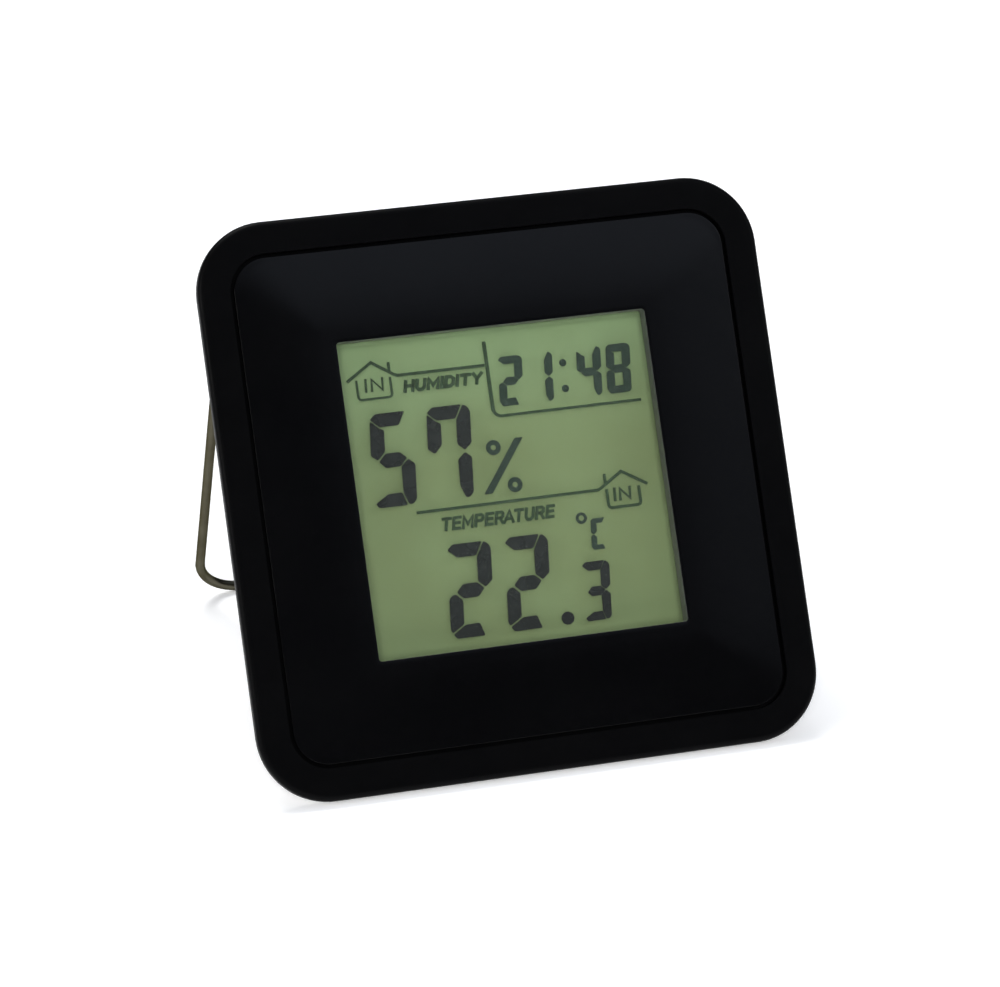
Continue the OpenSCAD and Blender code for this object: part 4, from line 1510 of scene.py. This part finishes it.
    def house(self, mark: House) -> list[Shell]:
        """Carries a house's roof, chimney and walls as lines and puts its word inside.

        Args:
            mark: The house.

        Returns:
            One shell for each line.
        """
        (x0, x1), (bottom, top) = mark.across, mark.up
        r, cut = self.wall_round, CORNER_CUT * self.wall_round
        walls = ((x0, top), (x0, bottom + r), (x0 + cut, bottom + cut), (x0 + r, bottom),
                 (x1 - r, bottom), (x1 - cut, bottom + cut), (x1, bottom + r), (x1, top))
        foot, head = (top + up for up in self.sign_up)
        inside = Word("IN", mark.sign, (foot, head), mark.line - self.sign_thinner, self.sign_slope)
        lines = ((mark.roof, self.rule), (mark.chimney, self.rule), (walls, mark.line))
        return [ribbon(path, half, self.front, self.back) for path, half in lines] + self.word(inside)

    def readings(self) -> Shell:
        """The large figures and their point, as one shell."""
        shells = [shell for mark in self.numbers for shell in self.figure(mark)]
        return Shell.joined([*shells, self.dot(self.point)])

    def signs(self) -> Shell:
        """The clock and the signs of the readings.

        Returns:
            One shell.
        """
        shells = [shell for mark in self.small for shell in self.figure(mark)]
        shells += [self.dot(mark) for mark in (*self.colon, *self.rings)]
        slash = prism(eased(np.array(self.slash), self.slash_ease), self.front, self.back)
        return Shell.joined([*shells, slash])

    def legends(self) -> Shell:
        """The rules, houses and words round the figures.

        Returns:
            One shell.
        """
        shells = [self.clock_rule.shell(self.front, self.back)]
        shells += [shell for mark in self.houses for shell in self.house(mark)]
        shells += [shell for mark in self.words for shell in self.word(mark)]
        return Shell.joined(shells)

    def borders(self) -> Shell:
        """The ground's two strips over the contact ledges and the steps behind them.

        Each is a rectangle carried back, over the viewing area and mirrored under it.

        Returns:
            One shell.
        """
        left, right = -self.reach, self.reach
        shells = []
        for (low, high), front, back in (
            (self.border, self.front, self.back),
            (self.step, self.back + self.seam, self.ground),
        ):
            strip = np.array([(left, low), (right, low), (right, high), (left, high)])
            shells += [prism(strip * (1.0, side), front, back) for side in (1.0, -1.0)]
        return Shell.joined(shells)

    def build(self, face: FaceFrame, ground: bpy.types.Material) -> list[bpy.types.Object]:
        """Makes what the display shows, inside its glass.

        Args:
            face: The face's frame.
            ground: The reflector's finish.

        Returns:
            The pieces.
        """
        made = [
            self.readings().make("display_readings", face, self.ink.make()),
            self.signs().make("display_signs", face, self.pale_ink.make()),
            self.legends().make("display_legends", face, self.thin_ink.make()),
        ]
        for piece in made:
            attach(piece, Body.CASE.value)
        border = self.borders().make("display_border", face, ground)
        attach(border, Body.CASE.value)
        return [*made, border]


@dataclass
class KeyPips:
    """Raised dots over the rear keys, by which fingers tell them apart: one, two and three.

    Attributes:
        keys: Places of the keys across the back.
        height: Height of the dots on the face.
        wall: Depth of the back wall's outer face.
        radius: Radius of a dot.
        rise: How far a dot stands out.
        pitch: Distance between neighbouring dots.
        foot: How far a dot's foot goes into the wall.
        top: Angle at which a dot's flat top starts, as a share of a half turn.
        rows: Number of circles over the dome.
        sides: Number of points round a circle.
        crease: Angle in degrees above which edges stay sharp.
    """

    keys: tuple[float, ...] = (-14.0, 0.0, 14.0)
    height: float = 9.4
    wall: float = 22.4
    radius: float = 0.5
    rise: float = 0.25
    pitch: float = 1.8
    foot: float = 0.1
    top: float = 0.42
    rows: int = 6
    sides: int = 24
    crease: float = 40.0

    def dot(self, x: float) -> Shell:
        """A dome of circles: radius cos a at depth wall + rise sin a, on a short foot in the wall.

        Args:
            x: Place of the dot across the back.

        Returns:
            The closed shell.
        """
        a = np.linspace(0.0, self.top * np.pi, self.rows)
        radii = np.concatenate([[self.radius], self.radius * np.cos(a)])
        depths = np.concatenate([[self.wall - self.foot], self.wall + self.rise * np.sin(a)])
        loops = [
            at_depth(circle((x, self.height), radius, self.sides), depth)
            for radius, depth in zip(radii, depths)
        ]
        return carried(np.stack(loops), wrap=False)

    def build(self, face: FaceFrame, material: bpy.types.Material) -> bpy.types.Object:
        """Makes the dots in the cover's finish.

        Args:
            face: The face's frame.
            material: The cover's finish.

        Returns:
            The dots as one piece.
        """
        dots = [
            self.dot(key + self.pitch * (i - count / 2))
            for count, key in enumerate(reversed(self.keys))
            for i in range(count + 1)
        ]
        piece = Shell.joined(dots).make("key_pips", face, material, self.crease)
        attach(piece, Body.CASE.value)
        return piece


def aimed(place: np.ndarray, forward: np.ndarray, up: np.ndarray) -> Matrix:
    """The matrix of a camera or lamp that looks along its own -z.

    Args:
        place: Its place.
        forward: Unit vector of its view.
        up: A direction that shows upwards in its view.

    Returns:
        A matrix whose columns are right, up, back and place.
    """
    right = unit(np.cross(forward, up))
    columns = np.eye(4)
    columns[:3, 0], columns[:3, 1] = right, np.cross(right, forward)
    columns[:3, 2], columns[:3, 3] = -forward, place
    return Matrix(columns.tolist())


@dataclass(frozen=True)
class Lamp:
    """A square soft lamp turned to the object.

    Attributes:
        name: Name of the lamp.
        place: Its place in metres.
        width: Its width in metres.
        power: Its power in watts.
        mirrored: Whether the lamp shows in gloss; a lamp behind a polariser doesn't.
        target: The point that it is turned to, in metres.
    """

    name: str
    place: Vector
    width: float
    power: float
    mirrored: bool = True
    target: Vector = (0.0, 0.0, 0.04)

    def build(self) -> bpy.types.Object:
        """Makes the lamp.

        Returns:
            The lamp.
        """
        data = bpy.data.lights.new(self.name, "AREA")
        data.size, data.energy = self.width, self.power
        lamp = linked(self.name, data)
        lamp.visible_glossy = self.mirrored
        place = np.asarray(self.place)
        lamp.matrix_world = aimed(place, unit(np.asarray(self.target) - place), np.array([0.0, 0.0, 1.0]))
        return lamp


@dataclass
class Studio:
    """The floor, the lamps and the surroundings.

    Attributes:
        floor_half: Half the floor's width in metres.
        floor_drop: How far the floor lies under the object, in metres.
        floor_count: Number of the floor's points along a side.
        floor_tone: The floor's colour.
        floor_roughness: The floor's roughness.
        floor_lift: White added to the floor near the object, for the camera and in reflections.
        fade: Distances in metres between which the added white grows to full white.
        sky_tint: Colour of the light from all round.
        level: Light from all round.
        glow: Further light from the bright side.
        bright_side: Direction of the bright side.
        bright_edge: Cosines to that direction between which the glow grows.
        lamps: The lamps.
    """

    floor_half: float = 12.0
    floor_drop: float = 0.00005
    floor_count: int = 9
    floor_tone: Colour = (0.93, 0.93, 0.93)
    floor_roughness: float = 0.9
    floor_lift: float = 0.25
    fade: Span = (0.8, 2.5)
    sky_tint: Colour = (0.9, 1.0, 1.2)
    level: float = 0.035
    glow: float = 0.48
    bright_side: Vector = (0.433, -0.25, 0.866)
    bright_edge: Span = (0.70, 0.966)
    lamps: tuple[Lamp, ...] = (
        Lamp("front", (-0.39, -1.65, 0.90), width=0.7, power=27.0, mirrored=False),
        Lamp("left", (-1.6, -0.45, 0.7), width=0.6, power=9.0),
        Lamp("right", (1.42, -0.76, 1.05), width=0.6, power=3.0),
        Lamp("rear", (-0.3, 1.2, 2.2), width=1.2, power=40.0),
    )

    def paper(self) -> bpy.types.Material:
        """The floor's paper, whose added white shows to the camera and in reflections alone.

        Returns:
            The material.
        """
        bench = Bench("floor_paper")
        bench.set(Base_Color=self.floor_tone, Roughness=self.floor_roughness, Specular_IOR_Level=0.0)
        bench.set(Emission_Color=(1.0, 1.0, 1.0))
        rays = bench.node("LightPath")
        seen = rays.outputs["Is Camera Ray"]
        for kind in ("Is Glossy Ray", "Is Transmission Ray"):
            seen = bench.reckon(Operation.LARGER, seen, rays.outputs[kind])
        away = bench.reckon(Operation.LENGTH, bench.place)
        white = bench.run(away, self.fade, (self.floor_lift, 1.0))
        share = bench.reckon(Operation.PRODUCT, seen, white)
        bench.link(share, bench.shader.inputs["Emission Strength"])
        return bench.material

    def floor(self) -> bpy.types.Object:
        """A square sheet p = floor_half (s, t) on a grid, just under the object.

        Returns:
            The floor.
        """
        n = self.floor_count
        s, t = np.meshgrid(np.linspace(-1, 1, n), np.linspace(-1, 1, n), indexing="ij")
        height = np.full_like(s, -self.floor_drop)
        points = np.stack([self.floor_half * s, self.floor_half * t, height], axis=-1)
        i, j = np.meshgrid(np.arange(n - 1), np.arange(n - 1), indexing="ij")
        first = i * n + j
        quads = np.stack([first, first + n, first + n + 1, first + 1], axis=-1)
        mesh = bpy.data.meshes.new("floor")
        mesh.from_pydata(points.reshape(-1, 3).tolist(), [], quads.reshape(-1, 4).tolist())
        mesh.materials.append(self.paper())
        sheet = linked("floor", mesh)
        return sheet

    def surroundings(self) -> None:
        """The world: an even level, with a glow that grows with the cosine to the bright side."""
        world = bpy.data.worlds.new("studio")
        bpy.context.scene.world = world
        world.use_nodes = True
        sky = NodeTree(world.node_tree)
        output = sky.node("OutputWorld")
        light = sky.node("Background", Color=(*self.sky_tint, 1.0))
        toward = sky.node("TexCoord").outputs["Generated"]
        side = unit(np.asarray(self.bright_side)).tolist()
        cosine = sky.reckon(Operation.COSINE, toward, side)
        strength = sky.run(cosine, self.bright_edge, (self.level, self.level + self.glow), smooth=True)
        sky.link(strength, light.inputs["Strength"])
        sky.link(light.outputs["Background"], output.inputs["Surface"])

    def build(self) -> None:
        """Makes the floor, the surroundings and the lamps, and sets the plain view transform."""
        self.floor()
        self.surroundings()
        for lamp in self.lamps:
            lamp.build()
        bpy.context.scene.view_settings.view_transform = "Standard"


@dataclass
class Viewpoint:
    """The camera, placed in the face's frame.

    Attributes:
        eye: The camera's place in mm.
        forward: The direction of its view.
        upward: The direction that shows upwards.
        focal: Focal length in pixels of a picture PICTURE_WIDTH wide.
        sensor: Width of the sensor in mm.
        clip: Nearest and farthest distance that shows, in metres.
    """

    eye: Vector = (-135.02, -555.67, -39.26)
    forward: Vector = (0.2323, 0.9704, 0.0664)
    upward: Vector = (0.1186, -0.0960, 0.9883)
    focal: float = 3906.1
    sensor: float = 36.0
    clip: Span = (0.01, 20.0)

    def build(self, face: FaceFrame) -> bpy.types.Object:
        """Makes the scene's camera.

        Args:
            face: The face's frame.

        Returns:
            The camera.
        """
        data = bpy.data.cameras.new("camera")
        data.sensor_fit, data.sensor_width = "HORIZONTAL", self.sensor
        data.lens = self.focal / PICTURE_WIDTH * self.sensor
        data.clip_start, data.clip_end = self.clip
        camera = linked("camera", data)
        forward, upward = (face.turn(np.array(way)) for way in (self.forward, self.upward))
        camera.matrix_world = aimed(face.place(np.array(self.eye)), unit(forward), upward)
        bpy.context.scene.camera = camera
        return camera


def main() -> None:
    """Builds the looks in order and notes each piece."""
    logging.basicConfig(level=logging.INFO, format="%(message)s")
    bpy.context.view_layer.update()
    face = FaceFrame.from_joints(frame["joints"])
    Viewpoint().build(face)
    Studio().build()
    made = Case().dress(frame["nodes"], frame["record"])
    pieces = [
        FrontPanel().build(face, made["panel_plastic"]),
        WindowEdge().build(face),
        *Display().build(face, made["reflector_film"]),
        KeyPips().build(face, made["cover_plastic"]),
    ]
    for piece in pieces:
        log.info("made %s", piece.name)


if __name__ == "__main__":
    main()
